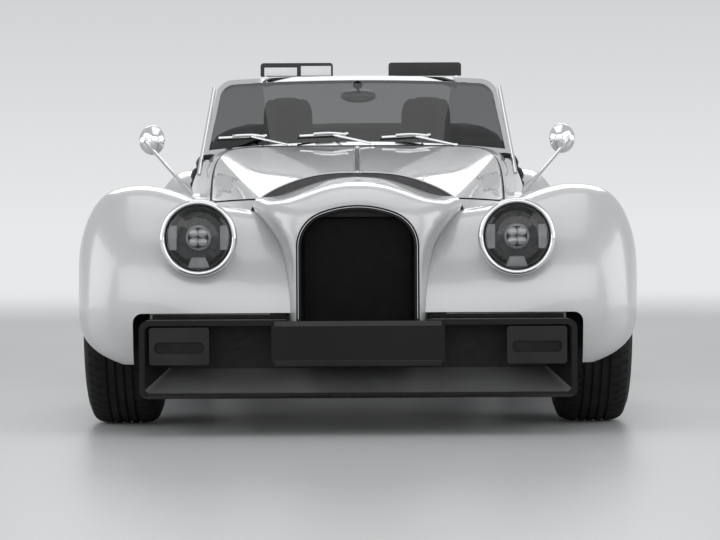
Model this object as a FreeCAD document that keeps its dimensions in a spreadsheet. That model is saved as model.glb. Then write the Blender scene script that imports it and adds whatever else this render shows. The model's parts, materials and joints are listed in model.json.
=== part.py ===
"""Two-seat roadster convertible with separate flowing wings, a split bonnet and an open cockpit.

The car stands on the ground plane with its nose towards -Y and its left side towards +X.
Lengths are millimetres and angles are degrees.
"""
import FreeCAD
import Part
import math
import os
import Sketcher
from types import SimpleNamespace

Vector = FreeCAD.Vector
Rotation = FreeCAD.Rotation
Placement = FreeCAD.Placement

# Driving dimensions

SIZES = {
    "overall_length": 3890,
    "overall_width": 1756,
    "wheelbase": 2520,
    "front_overhang": 620,
    "panel_gap": 5,
    "seat_clearance": 0.3,
    "tyre_radius": 319,
    "tyre_width": 225,
    "rear_tyre_width": 245,
    "tyre_centre": 727,
    "rear_tyre_centre": 717,
    "rim_radius": 229,
    "rim_wall": 7,
    "spoke_count": 10,
    "spoke_width": 26,
    "spoke_depth": 22,
    "hub_radius": 72,
    "disc_radius": 140,
    "disc_depth": 28,
    "disc_inset": 62,
    "hub_setback": 22,
    "hub_cap": 16,
    "spindle_radius": 22,
    "bearing_clearance": 0.05,
    "arch_radius": 375,
    "liner_wall": 4,
    "liner_inner_edge": 462,
    "kingpin_offset": 60.5,
    "upright_width": 44,
    "upright_inset": 92,
    "ball_height": 165,
    "caliper_depth": 62,
    "bonnet_ahead": 155,
    "bonnet_length": 1055,
    "scuttle_length": 305,
    "door_length": 695,
    "tail_front_width": 655,
    "scuttle_width": 575,
    "bonnet_rear_width": 512,
    "bonnet_front_width": 350,
    "bonnet_front_height": 784,
    "scuttle_height": 893,
    "cockpit_height": 880,
    "bonnet_wall": 4,
    "panel_wall": 12,
    "wing_wall": 4,
    "door_wall": 60,
    "bonnet_split": 702,
    "sill_height": 325,
    "body_bottom": 250,
    "wing_crest": 742,
    "rear_wing_crest": 842,
    "wing_bottom": 205,
    "floor_height": 160,
    "floor_wall": 30,
    "sill_width": 80,
    "sill_inset": 110,
    "cowl_ahead": 510,
    "cowl_bottom": 305,
    "grille_half_width": 177,
    "grille_spring": 554,
    "grille_rise": 118,
    "grille_side_radius": 104,
    "grille_wall": 8,
    "mesh_pitch": 26,
    "mesh_bar": 5,
    "lamp_centre": 472,
    "lamp_height": 583,
    "lamp_front": 97,
    "lamp_radius": 115,
    "lamp_depth": 264,
    "lamp_rim": 16,
    "bumper_half_width": 643,
    "bumper_bottom": 107,
    "bumper_top": 341,
    "bumper_depth": 130,
    "bumper_rim": 16,
    "bumper_corner": 28,
    "bumper_setback": 15,
    "bumper_wall": 22,
    "bumper_slope": 67,
    "bumper_space": 27,
    "bumper_lamp_centre": 525,
    "bumper_lamp_width": 176,
    "bumper_lamp_height": 110,
    "plate_width": 508,
    "plate_height": 114,
    "plate_wall": 6,
    "plate_centre": 272,
    "screen_wall": 5,
    "frame_tube": 22,
    "screen_foot_half": 552,
    "screen_head_half": 500,
    "screen_rise": 267,
    "screen_back": 223,
    "steering_wheel_radius": 175,
    "steering_wheel_height": 720,
    "steering_wheel_behind": 215,
    "tunnel_half_width": 75,
    "tunnel_height": 395,
    "seat_centre": 270,
    "seat_width": 370,
    "headrest_top": 1108,
    "hood_seat": 742,
    "hood_back": -242,
    "hood_rise": 278,
    "hinge_half_width": 5.7,
    "hinge_bead": 3.5,
    "hinge_offset": 8,
    "hinge_barrel": 7.6,
    "mirror_radius": 52,
    "exhaust_radius": 38,
}


class Dim:
    """A number that also knows the expression of sheet cells it comes from."""

    def __init__(self, value, text):
        self.value = float(value)
        self.text = text

    def __float__(self):
        return self.value

    def __add__(self, other):
        return Dim(self.value + float(other), f"({self.text} + {as_dim(other).text})")

    def __sub__(self, other):
        return Dim(self.value - float(other), f"({self.text} - {as_dim(other).text})")

    def __mul__(self, other):
        return Dim(self.value * float(other), f"({self.text} * {as_dim(other).text})")

    def __truediv__(self, other):
        return Dim(self.value / float(other), f"({self.text} / {as_dim(other).text})")

    def __neg__(self):
        return Dim(-self.value, f"(0 - {self.text})")

    def __radd__(self, other):
        return as_dim(other) + self

    def __rsub__(self, other):
        return as_dim(other) - self

    def __rmul__(self, other):
        return as_dim(other) * self


def as_dim(number):
    """Give a plain number the same face as a Dim."""
    if isinstance(number, Dim):
        return number
    return Dim(number, repr(float(number)))


doc = FreeCAD.newDocument("Roadster")
sheet = doc.addObject("Spreadsheet::Sheet", "Sizes")
for row, (name, value) in enumerate(SIZES.items(), start=1):
    sheet.set(f"A{row}", name)
    sheet.set(f"B{row}", str(value))
    sheet.setAlias(f"B{row}", name)
doc.recompute()

S = SimpleNamespace(**{name: Dim(value, f"Sizes.{name}") for name, value in SIZES.items()})

# Stations along the car, worked out from the driving dimensions

nose_y = -S.overall_length / 2
tail_y = S.overall_length / 2
front_axle_y = nose_y + S.front_overhang
rear_axle_y = front_axle_y + S.wheelbase
bonnet_front_y = front_axle_y - S.bonnet_ahead
scuttle_front_y = bonnet_front_y + S.bonnet_length + S.panel_gap
scuttle_rear_y = scuttle_front_y + S.scuttle_length - S.panel_gap
door_front_y = scuttle_rear_y + S.panel_gap
door_rear_y = door_front_y + S.door_length
tail_front_y = door_rear_y + S.panel_gap
cowl_front_y = front_axle_y - S.cowl_ahead
half_width = S.overall_width / 2
tub_half = S.tail_front_width - S.sill_inset
rail_outer = as_dim(330)
rear_rail = as_dim(290)
bumper_front_y = nose_y + S.bumper_setback
bumper_back_y = bumper_front_y + S.bumper_depth
lamp_front_y = nose_y + S.lamp_front
floor_back = rear_axle_y - 230

finished = []


def bind(thing, prop, number):
    """Set a property from a Dim, with its expression when the sheet drives it."""
    number = as_dim(number)
    if "Sizes." in number.text:
        thing.setExpression(prop, number.text)
    else:
        target = thing
        *path, last = prop.split(".")
        for step in path:
            target = getattr(target, step)
        setattr(target, last, number.value)


def place(thing, x=0, y=0, z=0, rotation=None):
    """Put an object at a point that the sheet drives."""
    point = [as_dim(v) for v in (x, y, z)]
    thing.Placement = Placement(Vector(*[p.value for p in point]), rotation or Rotation())
    for axis, number in zip("xyz", point):
        if "Sizes." in number.text:
            thing.setExpression(f"Placement.Base.{axis}", number.text)
    return thing


ALONG_X = Rotation(Vector(0, 0, 1), Vector(1, 0, 0))
ALONG_Y = Rotation(Vector(0, 0, 1), Vector(0, 1, 0))


def box(name, corner, extent):
    """A block from its lowest corner and its three lengths."""
    block = doc.addObject("Part::Box", name)
    for prop, number in zip(("Length", "Width", "Height"), extent):
        bind(block, prop, number)
    return place(block, *corner)


def centred_box(name, centre, extent):
    """A block from its centre and its three lengths."""
    corner = [as_dim(c) - as_dim(e) / 2 for c, e in zip(centre, extent)]
    return box(name, corner, extent)


def cylinder(name, base, radius, length, rotation=None):
    """A round bar that starts at its base point."""
    bar = doc.addObject("Part::Cylinder", name)
    bind(bar, "Radius", radius)
    bind(bar, "Height", length)
    return place(bar, *base, rotation)


def rod(name, start, end, radius):
    """A round bar between two points."""
    start = [as_dim(v) for v in start]
    end = [as_dim(v) for v in end]
    run = Vector(*[float(e) - float(s) for s, e in zip(start, end)])
    bar = doc.addObject("Part::Cylinder", name)
    bind(bar, "Radius", radius)
    bar.Height = run.Length
    return place(bar, *start, Rotation(Vector(0, 0, 1), run))


def sphere(name, centre, radius):
    ball = doc.addObject("Part::Sphere", name)
    bind(ball, "Radius", radius)
    return place(ball, *centre)


def feature(name, shape):
    """A free-form piece that the loft helpers below made."""
    piece = doc.addObject("Part::Feature", name)
    piece.Shape = shape
    return piece


def fuse(name, pieces):
    joined = doc.addObject("Part::MultiFuse", name)
    joined.Shapes = pieces
    return joined


def cut(name, base, tool):
    rest = doc.addObject("Part::Cut", name)
    rest.Base = base
    rest.Tool = tool
    return rest


def mirrored(name, source):
    """The same piece on the other side of the car."""
    twin = doc.addObject("Part::Mirroring", name)
    twin.Source = source
    twin.Normal = Vector(1, 0, 0)
    return twin


def group(name, pieces):
    """Like pieces on one body that share a node without touching."""
    compound = doc.addObject("Part::Compound", name)
    compound.Links = pieces
    return compound


def both_sides(name, source):
    return group(name, [source, mirrored(name + "_twin", source)])


def finish(label, piece):
    """Name a finished sub-part."""
    piece.Label = label
    finished.append(piece)
    return piece


def origin_plane(body, role):
    for item in body.Origin.OriginFeatures:
        if item.Role == role:
            return item
    raise ValueError(role)


def outline_sketch(body, name, role, points):
    """A closed outline whose corners the sheet drives, on one of the body's own planes."""
    sketch = body.newObject("Sketcher::SketchObject", name)
    sketch.AttachmentSupport = [(origin_plane(body, role), "")]
    sketch.MapMode = "FlatFace"
    corners = [[as_dim(v) for v in point] for point in points]
    spots = [Vector(u.value, v.value, 0) for u, v in corners]
    for here, there in zip(spots, spots[1:] + spots[:1]):
        sketch.addGeometry(Part.LineSegment(here, there))
    count = len(spots)
    for index in range(count):
        sketch.addConstraint(Sketcher.Constraint("Coincident", index, 2, (index + 1) % count, 1))
    for index, corner in enumerate(corners):
        for kind, number in zip(("DistanceX", "DistanceY"), corner):
            drive_distance(sketch, kind, index, number)
    return sketch


def drive_distance(sketch, kind, index, number):
    """Tie a corner's distance from the sketch's origin to its Dim."""
    if number.value < 0:
        constraint = Sketcher.Constraint(kind, index, 1, -1, 1, -number.value)
        number = -number
    else:
        constraint = Sketcher.Constraint(kind, -1, 1, index, 1, number.value)
    place_in_list = sketch.addConstraint(constraint)
    if "Sizes." in number.text:
        sketch.setExpression(f"Constraints[{place_in_list}]", number.text)


def revolved(body, name, role, axis, points):
    """Revolve an outline about one of its sketch's axes."""
    sketch = outline_sketch(body, name + "_outline", role, points)
    turned = body.newObject("PartDesign::Revolution", name)
    turned.Profile = (sketch, [""])
    turned.ReferenceAxis = (sketch, [axis])
    turned.Angle = 360
    body.Tip = turned
    return turned


def padded(body, name, role, points, length, both_ways=False, backwards=False):
    """Extrude an outline square to its plane."""
    sketch = outline_sketch(body, name + "_outline", role, points)
    pad = body.newObject("PartDesign::Pad", name)
    pad.Profile = (sketch, [""])
    bind(pad, "Length", length)
    pad.Midplane = both_ways
    pad.Reversed = backwards
    body.Tip = pad
    return pad


def repeated(body, name, source, axis_role, count):
    """Repeat a feature round one of the body's origin axes."""
    pattern = body.newObject("PartDesign::PolarPattern", name)
    pattern.Originals = [source]
    pattern.Axis = (origin_plane(body, axis_role), [""])
    pattern.Angle = 360
    bind(pattern, "Occurrences", count)
    body.Tip = pattern
    return pattern


# Loft helpers: a station is a place on the car, the lean of its section and the section's poles


def station(y, z, lean, poles):
    return SimpleNamespace(y=float(y), z=float(z), lean=math.radians(lean), poles=poles)


def on_station(place_on_car, x, rise):
    """Turn a pole of a station's section into a point on the car."""
    return Vector(float(x),
                  place_on_car.y - float(rise) * math.cos(place_on_car.lean),
                  place_on_car.z + float(rise) * math.sin(place_on_car.lean))


def offset_poles(poles, distance):
    """Move a section to its right by a wall's thickness."""
    moved = []
    last = len(poles) - 1
    for index, (x, rise) in enumerate(poles):
        before = poles[max(index - 1, 0)]
        after = poles[min(index + 1, last)]
        run = after[0] - before[0]
        climb = after[1] - before[1]
        length = math.hypot(run, climb)
        moved.append((x + distance * climb / length, rise - distance * run / length))
    return moved


def pole_curve(points):
    curve = Part.BSplineCurve()
    curve.buildFromPoles(points, False, 3)
    return curve.toShape()


def shell_wire(place_on_car, outer_inset, wall):
    """A section as a thin closed band."""
    outer = [on_station(place_on_car, *p) for p in offset_poles(place_on_car.poles, outer_inset)]
    inner = [on_station(place_on_car, *p) for p in offset_poles(place_on_car.poles, outer_inset + wall)]
    return Part.Wire([pole_curve(outer), Part.makeLine(outer[-1], inner[-1]),
                      pole_curve(inner[::-1]), Part.makeLine(inner[0], outer[0])])


def block_wire(place_on_car, outer_inset):
    """A section closed by a straight line between its ends."""
    outer = [on_station(place_on_car, *p) for p in offset_poles(place_on_car.poles, outer_inset)]
    return Part.Wire([pole_curve(outer), Part.makeLine(outer[-1], outer[0])])


def shell_loft(stations, wall, outer_inset=0):
    return Part.makeLoft([shell_wire(s, outer_inset, wall) for s in stations], True, False)


def block_loft(stations, outer_inset=0):
    return Part.makeLoft([block_wire(s, outer_inset) for s in stations], True, False)


def full_section(half_poles):
    """Mirror half a section, given from its right bottom up to the centre line."""
    left = [(-float(x), float(z)) for x, z in half_poles]
    right = [(float(x), float(z)) for x, z in half_poles[:-1]]
    return left + right[::-1]


def slab(low, high):
    """A block between two corners, for trimming."""
    low = Vector(*[float(v) for v in low])
    high = Vector(*[float(v) for v in high])
    return Part.makeBox(high.x - low.x, high.y - low.y, high.z - low.z, low)


def rounded_slab(low, high, radius):
    """A block whose four edges along the car are rounded."""
    block = slab(low, high)
    along = [edge for edge in block.Edges if abs(edge.Vertexes[0].Y - edge.Vertexes[-1].Y) > 1]
    return block.makeFillet(float(radius), along)


def side_prism(half, corners):
    """An outline in the car's side view, as a prism across the car."""
    points = [Vector(-float(half), float(y), float(z)) for y, z in corners]
    return Part.Face(Part.makePolygon(points + points[:1])).extrude(Vector(2 * float(half), 0, 0))


def largest(shape):
    """The main solid that is left after trimming."""
    return max(shape.Solids, key=lambda solid: solid.Volume)


def mirror_shape(shape):
    return shape.mirror(Vector(0, 0, 0), Vector(1, 0, 0))


FAR = 3000

# Body sections from the bonnet's front edge to the tail

BONNET_SHOULDER = ((1.0, 234), (0.985, 124), (0.90, 84), (0.686, 39), (0.343, 0))
SCUTTLE_SHOULDER = ((1.0, 293), (1.0, 138), (0.957, 18), (0.76, 0), (0.39, 0))
TUCK = 0.985


def body_section(half, top, squareness):
    """Half a body section: side, shoulder and roof line, between the bonnet's shape and the scuttle's."""
    poles = [(half * TUCK, float(S.body_bottom))]
    for (front_share, front_drop), (rear_share, rear_drop) in zip(BONNET_SHOULDER, SCUTTLE_SHOULDER):
        share = front_share + (rear_share - front_share) * squareness
        drop = front_drop + (rear_drop - front_drop) * squareness
        poles.append((half * share, top - drop))
    poles.append((0, top))
    return full_section(poles)


def body_station(y, half, top, squareness=1.0):
    return station(y, 0, 90, body_section(float(half), float(top), squareness))


bonnet_middle_y = (float(bonnet_front_y) + float(scuttle_front_y)) / 2
bonnet_stations = [
    body_station(bonnet_front_y, S.bonnet_front_width, S.bonnet_front_height, 0.0),
    body_station(bonnet_middle_y, (S.bonnet_front_width + S.bonnet_rear_width) / 2 + 8,
                 (S.bonnet_front_height + S.scuttle_height) / 2, 0.5),
    body_station(scuttle_front_y, S.bonnet_rear_width, S.scuttle_height),
]
cabin_stations = [
    bonnet_stations[-1],
    body_station(scuttle_rear_y, S.scuttle_width, S.scuttle_height + 5),
    body_station(door_front_y + S.door_length / 2, (S.scuttle_width + S.tail_front_width) / 2 + 10,
                 S.cockpit_height + 10),
    body_station(tail_front_y, S.tail_front_width, S.cockpit_height),
]


def tail_section(half, depth):
    """Half a tail section, as rises below its crown."""
    poles = [(half * TUCK, -depth), (half, -depth * 0.62), (half, -depth * 0.30), (half * 0.97, -depth * 0.05),
             (half * 0.80, 0), (half * 0.40, 0), (0, 0)]
    return full_section(poles)


def tail_station(y, height, lean, half, depth):
    return station(y, height, lean, tail_section(float(half), float(depth)))


tail_drop = S.cockpit_height - S.body_bottom
tail_stations = [
    tail_station(tail_front_y, S.cockpit_height, 90, S.tail_front_width, tail_drop),
    tail_station(rear_axle_y - 295, S.cockpit_height - 8, 90, S.tail_front_width - 5, tail_drop - 8),
    tail_station(rear_axle_y + 55, S.cockpit_height - 45, 93, S.tail_front_width - 55, tail_drop - 45),
    tail_station(tail_y - 395, S.cockpit_height - 130, 112, S.tail_front_width - 135, 470),
    tail_station(tail_y - 185, S.cockpit_height - 275, 140, S.tail_front_width - 185, 400),
    tail_station(tail_y - 85, S.cockpit_height - 440, 166, S.tail_front_width - 205, 380),
    tail_station(tail_y - 70, S.cockpit_height - 590, 180, S.tail_front_width - 205, 360),
]

# The cowl round the grille

RIM_GAP = 4
RIM_POLES = ((1.0, 0), (1.0, 100), (1.0, 190), (1.0, 252), (0.98, 302), (0.837, 342.5), (0.652, 365.4),
             (0.417, 378.5), (0.21, 385.5), (0, 387))
COWL_POLES = ((222, 0), (224, 110), (230, 215), (256, 300), (322, 366), (320, 418), (248, 413), (180, 440),
              (90, 472), (0, 478))
COWL_WALL = 6
CLOSING_GAP = 2.8
RIM_INSET = COWL_WALL - RIM_GAP + 2


def cowl_station(y, share):
    """A cowl section between the grille's rim and the edge under the bonnet."""
    poles = []
    rim_half = float(S.grille_half_width) + RIM_GAP
    for (rim_share, rim_z), (rear_x, rear_z) in zip(RIM_POLES, COWL_POLES):
        rim_x = rim_share * rim_half
        poles.append((rim_x + (rear_x - rim_x) * share, rim_z + (rear_z - rim_z) * share))
    return station(y, S.cowl_bottom - 15, 90, full_section(poles))


cowl_depth = 395
cowl_stations = [
    cowl_station(cowl_front_y, 0.0),
    cowl_station(cowl_front_y + 30, 0.42),
    cowl_station(cowl_front_y + 120, 0.74),
    cowl_station(cowl_front_y + 250, 0.93),
    cowl_station(cowl_front_y + cowl_depth, 1.0),
]

# The wings, as sections that lean over the wheels


FRONT_SHOULDER = ((78, 16), (18, 100), (0, 210), (0, 330))
REAR_SHOULDER = ((115, 16), (50, 95), (8, 200), (0, 330))


def wing_section(inner, inner_drop, crest, outer, depth, shoulder):
    """A wing's section from the body's side over its crest to its outer edge."""
    valley = inner + (crest - inner) * 0.45
    side = [(outer - inset, -drop * depth) for inset, drop in shoulder]
    return [(inner, -inner_drop), (valley, -inner_drop * 0.8), (crest - 60, 4), (crest + 60, 5)] + side


def front_wing_station(along, height, lean, inner, inner_drop, crest, tuck, depth):
    outer = float(half_width) - tuck
    return station(front_axle_y + along, S.wing_crest + height, lean,
                   wing_section(inner, inner_drop, crest, outer, depth, FRONT_SHOULDER))


front_wing_stations = [
    front_wing_station(-458, -558, -8, 195, 0.1, 480, 205, 0.14),
    front_wing_station(-467, -536, -7, 195, 1, 495, 148, 0.22),
    front_wing_station(-474, -513, -5, 195, 3, 515, 98, 0.34),
    front_wing_station(-480, -484, -3, 195, 5, 545, 64, 0.46),
    front_wing_station(-486, -440, 1, 195, 9, 575, 38, 0.62),
    front_wing_station(-490, -382, 6, 195, 15, 600, 24, 0.80),
    front_wing_station(-445, -187, 28, 205, 45, 620, 14, 1.0),
    front_wing_station(-320, -52, 56, 240, 70, 640, 15, 1.0),
    front_wing_station(-110, 0, 85, 300, 78, 650, 12, 1.0),
    front_wing_station(120, -24, 102, 330, 66, 650, 0, 1.0),
    front_wing_station(400, -127, 115, 380, 10, 655, 1, 0.9),
    front_wing_station(680, -274, 118, 430, -20, 660, 4, 0.62),
    front_wing_station(960, -407, 112, 500, -20, 690, 10, 0.36),
    front_wing_station(1230, -487, 98, 540, -6, 720, 16, 0.16),
    front_wing_station(1400, -504, 90, 545, 0.1, 720, 18, 0.09),
]
rear_reach = float(tail_y - rear_axle_y)


def rear_wing_station(along, height, lean, inner, inner_drop, crest, tuck, depth):
    outer = float(half_width) - tuck
    return station(rear_axle_y + along, S.rear_wing_crest + height, lean,
                   wing_section(inner, inner_drop, crest, outer, depth, REAR_SHOULDER))


rear_wing_stations = [
    rear_wing_station(-565, -592, 20, 560, 0.1, 690, 28, 0.20),
    rear_wing_station(-500, -420, 28, 545, -10, 680, 18, 0.55),
    rear_wing_station(-400, -215, 42, 535, 0, 670, 15, 0.9),
    rear_wing_station(-220, -62, 64, 520, 30, 655, 15, 1.0),
    rear_wing_station(10, 0, 92, 500, 40, 650, 15, 1.0),
    rear_wing_station(rear_reach * 0.307, -62, 118, 470, 30, 650, 15, 1.0),
    rear_wing_station(rear_reach * 0.573, -215, 138, 440, 20, 650, 18, 1.0),
    rear_wing_station(rear_reach * 0.753, -400, 158, 430, 10, 640, 28, 0.8),
    rear_wing_station(rear_reach * 0.847, -560, 174, 430, 0.1, 620, 58, 0.5),
]


def wheel_space(axle_y, radius, inner_x):
    """The round space for a wheel, open to the car's side."""
    return Part.makeCylinder(float(radius), FAR, Vector(float(inner_x), float(axle_y), float(S.tyre_radius)),
                             Vector(1, 0, 0))


def make_body_shapes():
    """The solids that several panels are cut from or trimmed against."""
    shapes = SimpleNamespace()
    grown = -float(S.seat_clearance)
    shapes.bonnet = block_loft(bonnet_stations, grown)
    shapes.cabin = block_loft(cabin_stations, grown)
    shapes.tail = block_loft(tail_stations, grown)
    shapes.cowl = block_loft(cowl_stations, grown)
    return shapes


blocks = make_body_shapes()
wing_end_y = front_wing_stations[-1].y


def front_wings():
    wing = shell_loft(front_wing_stations, float(S.wing_wall))
    wing = wing.cut(wheel_space(front_axle_y, S.arch_radius, S.tyre_centre - S.tyre_width / 2))
    below = slab((-FAR, -FAR, -FAR), (FAR, FAR, S.wing_bottom))
    bumper_space = rounded_slab((-FAR, nose_y - 100, -FAR),
                                (S.bumper_half_width + S.bumper_space, front_axle_y - 200,
                                 S.bumper_top + 17), S.bumper_corner)
    wing = wing.cut(below).cut(bumper_space)
    for block in (blocks.bonnet, blocks.cabin, blocks.cowl):
        wing = wing.cut(block)
    behind = slab((-FAR, front_axle_y, -FAR), (float(S.bonnet_front_width) - 60, FAR, FAR))
    wing = wing.cut(behind)
    wing = wing.cut(slab((0, scuttle_front_y, 0), (tub_half + S.seat_clearance, FAR, S.sill_height)))
    wing = wing.cut(lamp_pod(float(S.seat_clearance)))
    finish("front_wings", both_sides("FrontWings", feature("FrontWing", largest(wing))))


def rear_wings():
    wing = shell_loft(rear_wing_stations, float(S.wing_wall))
    wing = wing.cut(wheel_space(rear_axle_y, S.arch_radius, S.rear_tyre_centre - S.rear_tyre_width / 2))
    wing = wing.cut(slab((-FAR, -FAR, -FAR), (FAR, FAR, S.wing_bottom + 35)))
    wing = wing.cut(blocks.tail)
    wing = wing.cut(slab((-FAR, -FAR, -FAR), (FAR, tail_front_y, FAR)))
    wing = wing.cut(rear_lamp_space(float(S.seat_clearance)))
    finish("rear_wings", both_sides("RearWings", feature("RearWing", largest(wing))))


LINER_GAP = 1.2


def wheel_liners():
    """Dark inner arches that close the wings over the wheels."""
    pieces = []
    for name, stations, axle_y, inner_x, body_blocks in (
            ("Front", front_wing_stations, front_axle_y, S.liner_inner_edge, (blocks.bonnet, blocks.cabin)),
            ("Rear", rear_wing_stations, rear_axle_y, S.rear_tyre_centre - S.rear_tyre_width / 2 - 15,
             (blocks.tail,))):
        inner = S.arch_radius + 1
        ring = wheel_space(axle_y, inner + S.liner_wall, inner_x).cut(wheel_space(axle_y, inner, inner_x - 1))
        ring = ring.common(block_loft(stations, float(S.wing_wall) + LINER_GAP))
        ring = ring.cut(slab((-FAR, -FAR, -FAR), (FAR, FAR, S.wing_bottom + 5)))
        for block in body_blocks:
            ring = ring.cut(block)
        if name == "Front":
            ring = ring.cut(lamp_pod(float(S.seat_clearance)))
        pieces.append(feature(name + "Liner", largest(ring)))
        pieces.append(mirrored(name + "LinerTwin", pieces[-1]))
    finish("wheel_liners", group("WheelLiners", pieces))


bead_x = S.hinge_half_width + S.seat_clearance + S.hinge_bead


def bonnets():
    """Each half ends at the middle in a rolled edge, which turns beside the centre strip."""
    shell = shell_loft(bonnet_stations, float(S.bonnet_wall))
    keep = slab((bead_x, bonnet_front_y, S.bonnet_split), (FAR, scuttle_front_y - S.panel_gap, FAR))
    drop = float(S.bonnet_wall) / 2
    start = Vector(float(bead_x), float(bonnet_front_y), float(S.bonnet_front_height) - drop)
    end = Vector(float(bead_x), float(scuttle_front_y), float(S.scuttle_height) - drop)
    run = (end - start).normalize()
    length = float(scuttle_front_y - S.panel_gap - bonnet_front_y) / run.y
    bead = Part.makeCylinder(float(S.hinge_bead), length, start, run)
    left = largest(largest(shell.common(keep)).fuse(bead).removeSplitter())
    finish("bonnet_left", feature("BonnetLeft", left))
    finish("bonnet_right", feature("BonnetRight", mirror_shape(left)))


def side_panels():
    """The fixed sides under the bonnets and doors, and the boards that run between the wings."""
    shell = shell_loft(bonnet_stations, float(S.bonnet_wall))
    keep = slab((0, bonnet_front_y, S.body_bottom),
                (FAR, scuttle_front_y - S.panel_gap, S.bonnet_split - S.panel_gap))
    arms = slab((0, front_axle_y - 175, 0), (FAR, front_axle_y + 175, 565))
    valance = feature("SideValance", largest(shell.common(keep).cut(arms).cut(blocks.cowl)))
    shell = shell_loft(cabin_stations, float(S.panel_wall))
    keep = slab((0, door_front_y, S.body_bottom - 35), (FAR, door_rear_y, S.sill_height))
    sill = feature("SillPanel", largest(shell.common(keep)))
    gap = float(S.seat_clearance)
    board = box("RunningBoard", (590, wing_end_y + gap, 215), (250, rear_axle_y - 565 - wing_end_y - 2 * gap, 28))
    pieces = [valance, sill, board]
    pieces += [mirrored(piece.Name + "Twin", piece) for piece in pieces]
    finish("side_panels", group("SidePanels", pieces))


def scuttle():
    shell = shell_loft(cabin_stations, float(S.panel_wall))
    panel = shell.common(slab((-FAR, scuttle_front_y, S.body_bottom), (FAR, scuttle_rear_y, FAR)))
    finish("scuttle", feature("Scuttle", panel))


def door_top(side):
    """The space above a door, whose top dips in the middle."""
    front, middle, rear = float(door_front_y), float(door_front_y + S.door_length * 0.62), float(door_rear_y)
    heights = (860, 728, S.hood_seat.value + 4)
    points = [Vector(side * 200, front - 1, heights[0]), Vector(side * 200, front + 200, heights[0] - 50),
              Vector(side * 200, middle, heights[1] - 20), Vector(side * 200, rear - 120, heights[1] + 30),
              Vector(side * 200, rear + 1, heights[2])]
    ends = [Vector(side * 200, rear + 1, 1500), Vector(side * 200, front - 1, 1500)]
    edge = Part.Wire([pole_curve(points), Part.makeLine(points[-1], ends[0]),
                      Part.makeLine(ends[0], ends[1]), Part.makeLine(ends[1], points[0])])
    return Part.Face(edge).extrude(Vector(side * 900, 0, 0))


def doors():
    shell = shell_loft(cabin_stations, float(S.door_wall))
    keep = slab((S.scuttle_width - 70, door_front_y, S.sill_height + S.panel_gap), (FAR, door_rear_y, FAR))
    left = largest(shell.common(keep).cut(door_top(1)))
    finish("door_left", feature("DoorLeft", left))
    finish("door_right", feature("DoorRight", mirror_shape(left)))


door_axis_x = S.scuttle_width + S.hinge_offset
door_axis_y = door_front_y + S.panel_gap / 2


def hinges():
    """The doors' outside hinges, and the bright centre strip that both bonnet halves turn on."""
    pieces = []
    for index, height in enumerate((float(S.sill_height) + 95, float(S.sill_height) + 315)):
        foot = Vector(float(door_axis_x), float(door_axis_y), height)
        barrel = Part.makeCylinder(float(S.hinge_barrel), 52, foot)
        leaf = slab((door_axis_x - 26, door_axis_y - 62, height + 6),
                    (door_axis_x + 4, door_axis_y - 2, height + 46))
        shape = leaf.cut(slab((0, scuttle_rear_y, 0), (door_axis_x - 6, FAR, FAR))).fuse(barrel)
        shape = largest(shape.cut(blocks.cabin).removeSplitter())
        pieces.append(feature(f"DoorHinge{index}", shape))
        pieces.append(mirrored(f"DoorHingeTwin{index}", pieces[-1]))
    start = Vector(0, float(bonnet_front_y) + 9, float(S.bonnet_front_height) + 2)
    end = Vector(0, float(scuttle_front_y) - 2, float(S.scuttle_height) + 2)
    run = end - start
    half = float(S.hinge_half_width)
    strip = Part.makeBox(half * 2, run.Length, 7, Vector(-half, 0, -6))
    strip.rotate(Vector(0, 0, 0), Vector(1, 0, 0), math.degrees(math.atan2(run.z, run.y)))
    strip.translate(start)
    pieces.append(feature("BonnetHinge", strip))
    finish("hinges", group("Hinges", pieces))


def tail():
    shell = shell_loft(tail_stations, float(S.panel_wall))
    deck = slab((-FAR, tail_front_y - 10, S.hood_seat), (FAR, S.hood_back + rear_axle_y, FAR))
    shell = shell.cut(deck)
    for sign in (1, -1):
        space = wheel_space(rear_axle_y, S.arch_radius, S.rear_tyre_centre - S.rear_tyre_width / 2 - 25)
        shell = shell.cut(space if sign > 0 else mirror_shape(space))
    finish("tail_body", feature("TailBody", largest(shell)))


def cowl():
    shell = shell_loft(cowl_stations, COWL_WALL)
    shell = shell.common(slab((-FAR, -FAR, S.cowl_bottom), (FAR, FAR, FAR)))
    under_bonnet = block_loft(bonnet_stations, float(S.bonnet_wall + S.panel_gap))
    under_bonnet.translate(Vector(0, -2 * float(S.panel_gap), 0))
    outside = slab((-FAR, bonnet_front_y - S.panel_gap, 0), (FAR, FAR, FAR)).cut(under_bonnet)
    shell = largest(shell.cut(outside))
    band = block_loft(bonnet_stations, float(S.bonnet_wall) + CLOSING_GAP).cut(block_loft(cowl_stations, 3))
    band = band.common(slab((-FAR, bonnet_front_y + 4, S.bonnet_split - 30), (FAR, bonnet_front_y + 8, FAR)))
    finish("nose_cowl", feature("NoseCowl", largest(shell.fuse(band).removeSplitter())))


# Windscreen, whose glass is a gently curved sheet between two arcs

screen_foot_y = float(scuttle_rear_y) - 66
screen_foot_z = float(S.scuttle_height) - 25
screen_head_z = float(S.scuttle_height + S.screen_rise) - 14
SCREEN_BOW = 117
SCREEN_FOOT = (Vector(-float(S.screen_foot_half), screen_foot_y, screen_foot_z),
               Vector(0, screen_foot_y - SCREEN_BOW, screen_foot_z + 25),
               Vector(float(S.screen_foot_half), screen_foot_y, screen_foot_z))
SCREEN_HEAD = (Vector(-float(S.screen_head_half), screen_foot_y + 194, screen_head_z),
               Vector(0, screen_foot_y - SCREEN_BOW + float(S.screen_back), screen_head_z + 14),
               Vector(float(S.screen_head_half), screen_foot_y + 194, screen_head_z))
SCREEN_BACK = Vector(0, 0.755, -0.655)


def through(points):
    """An arc through three points."""
    return Part.Arc(*points).toShape()


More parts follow.
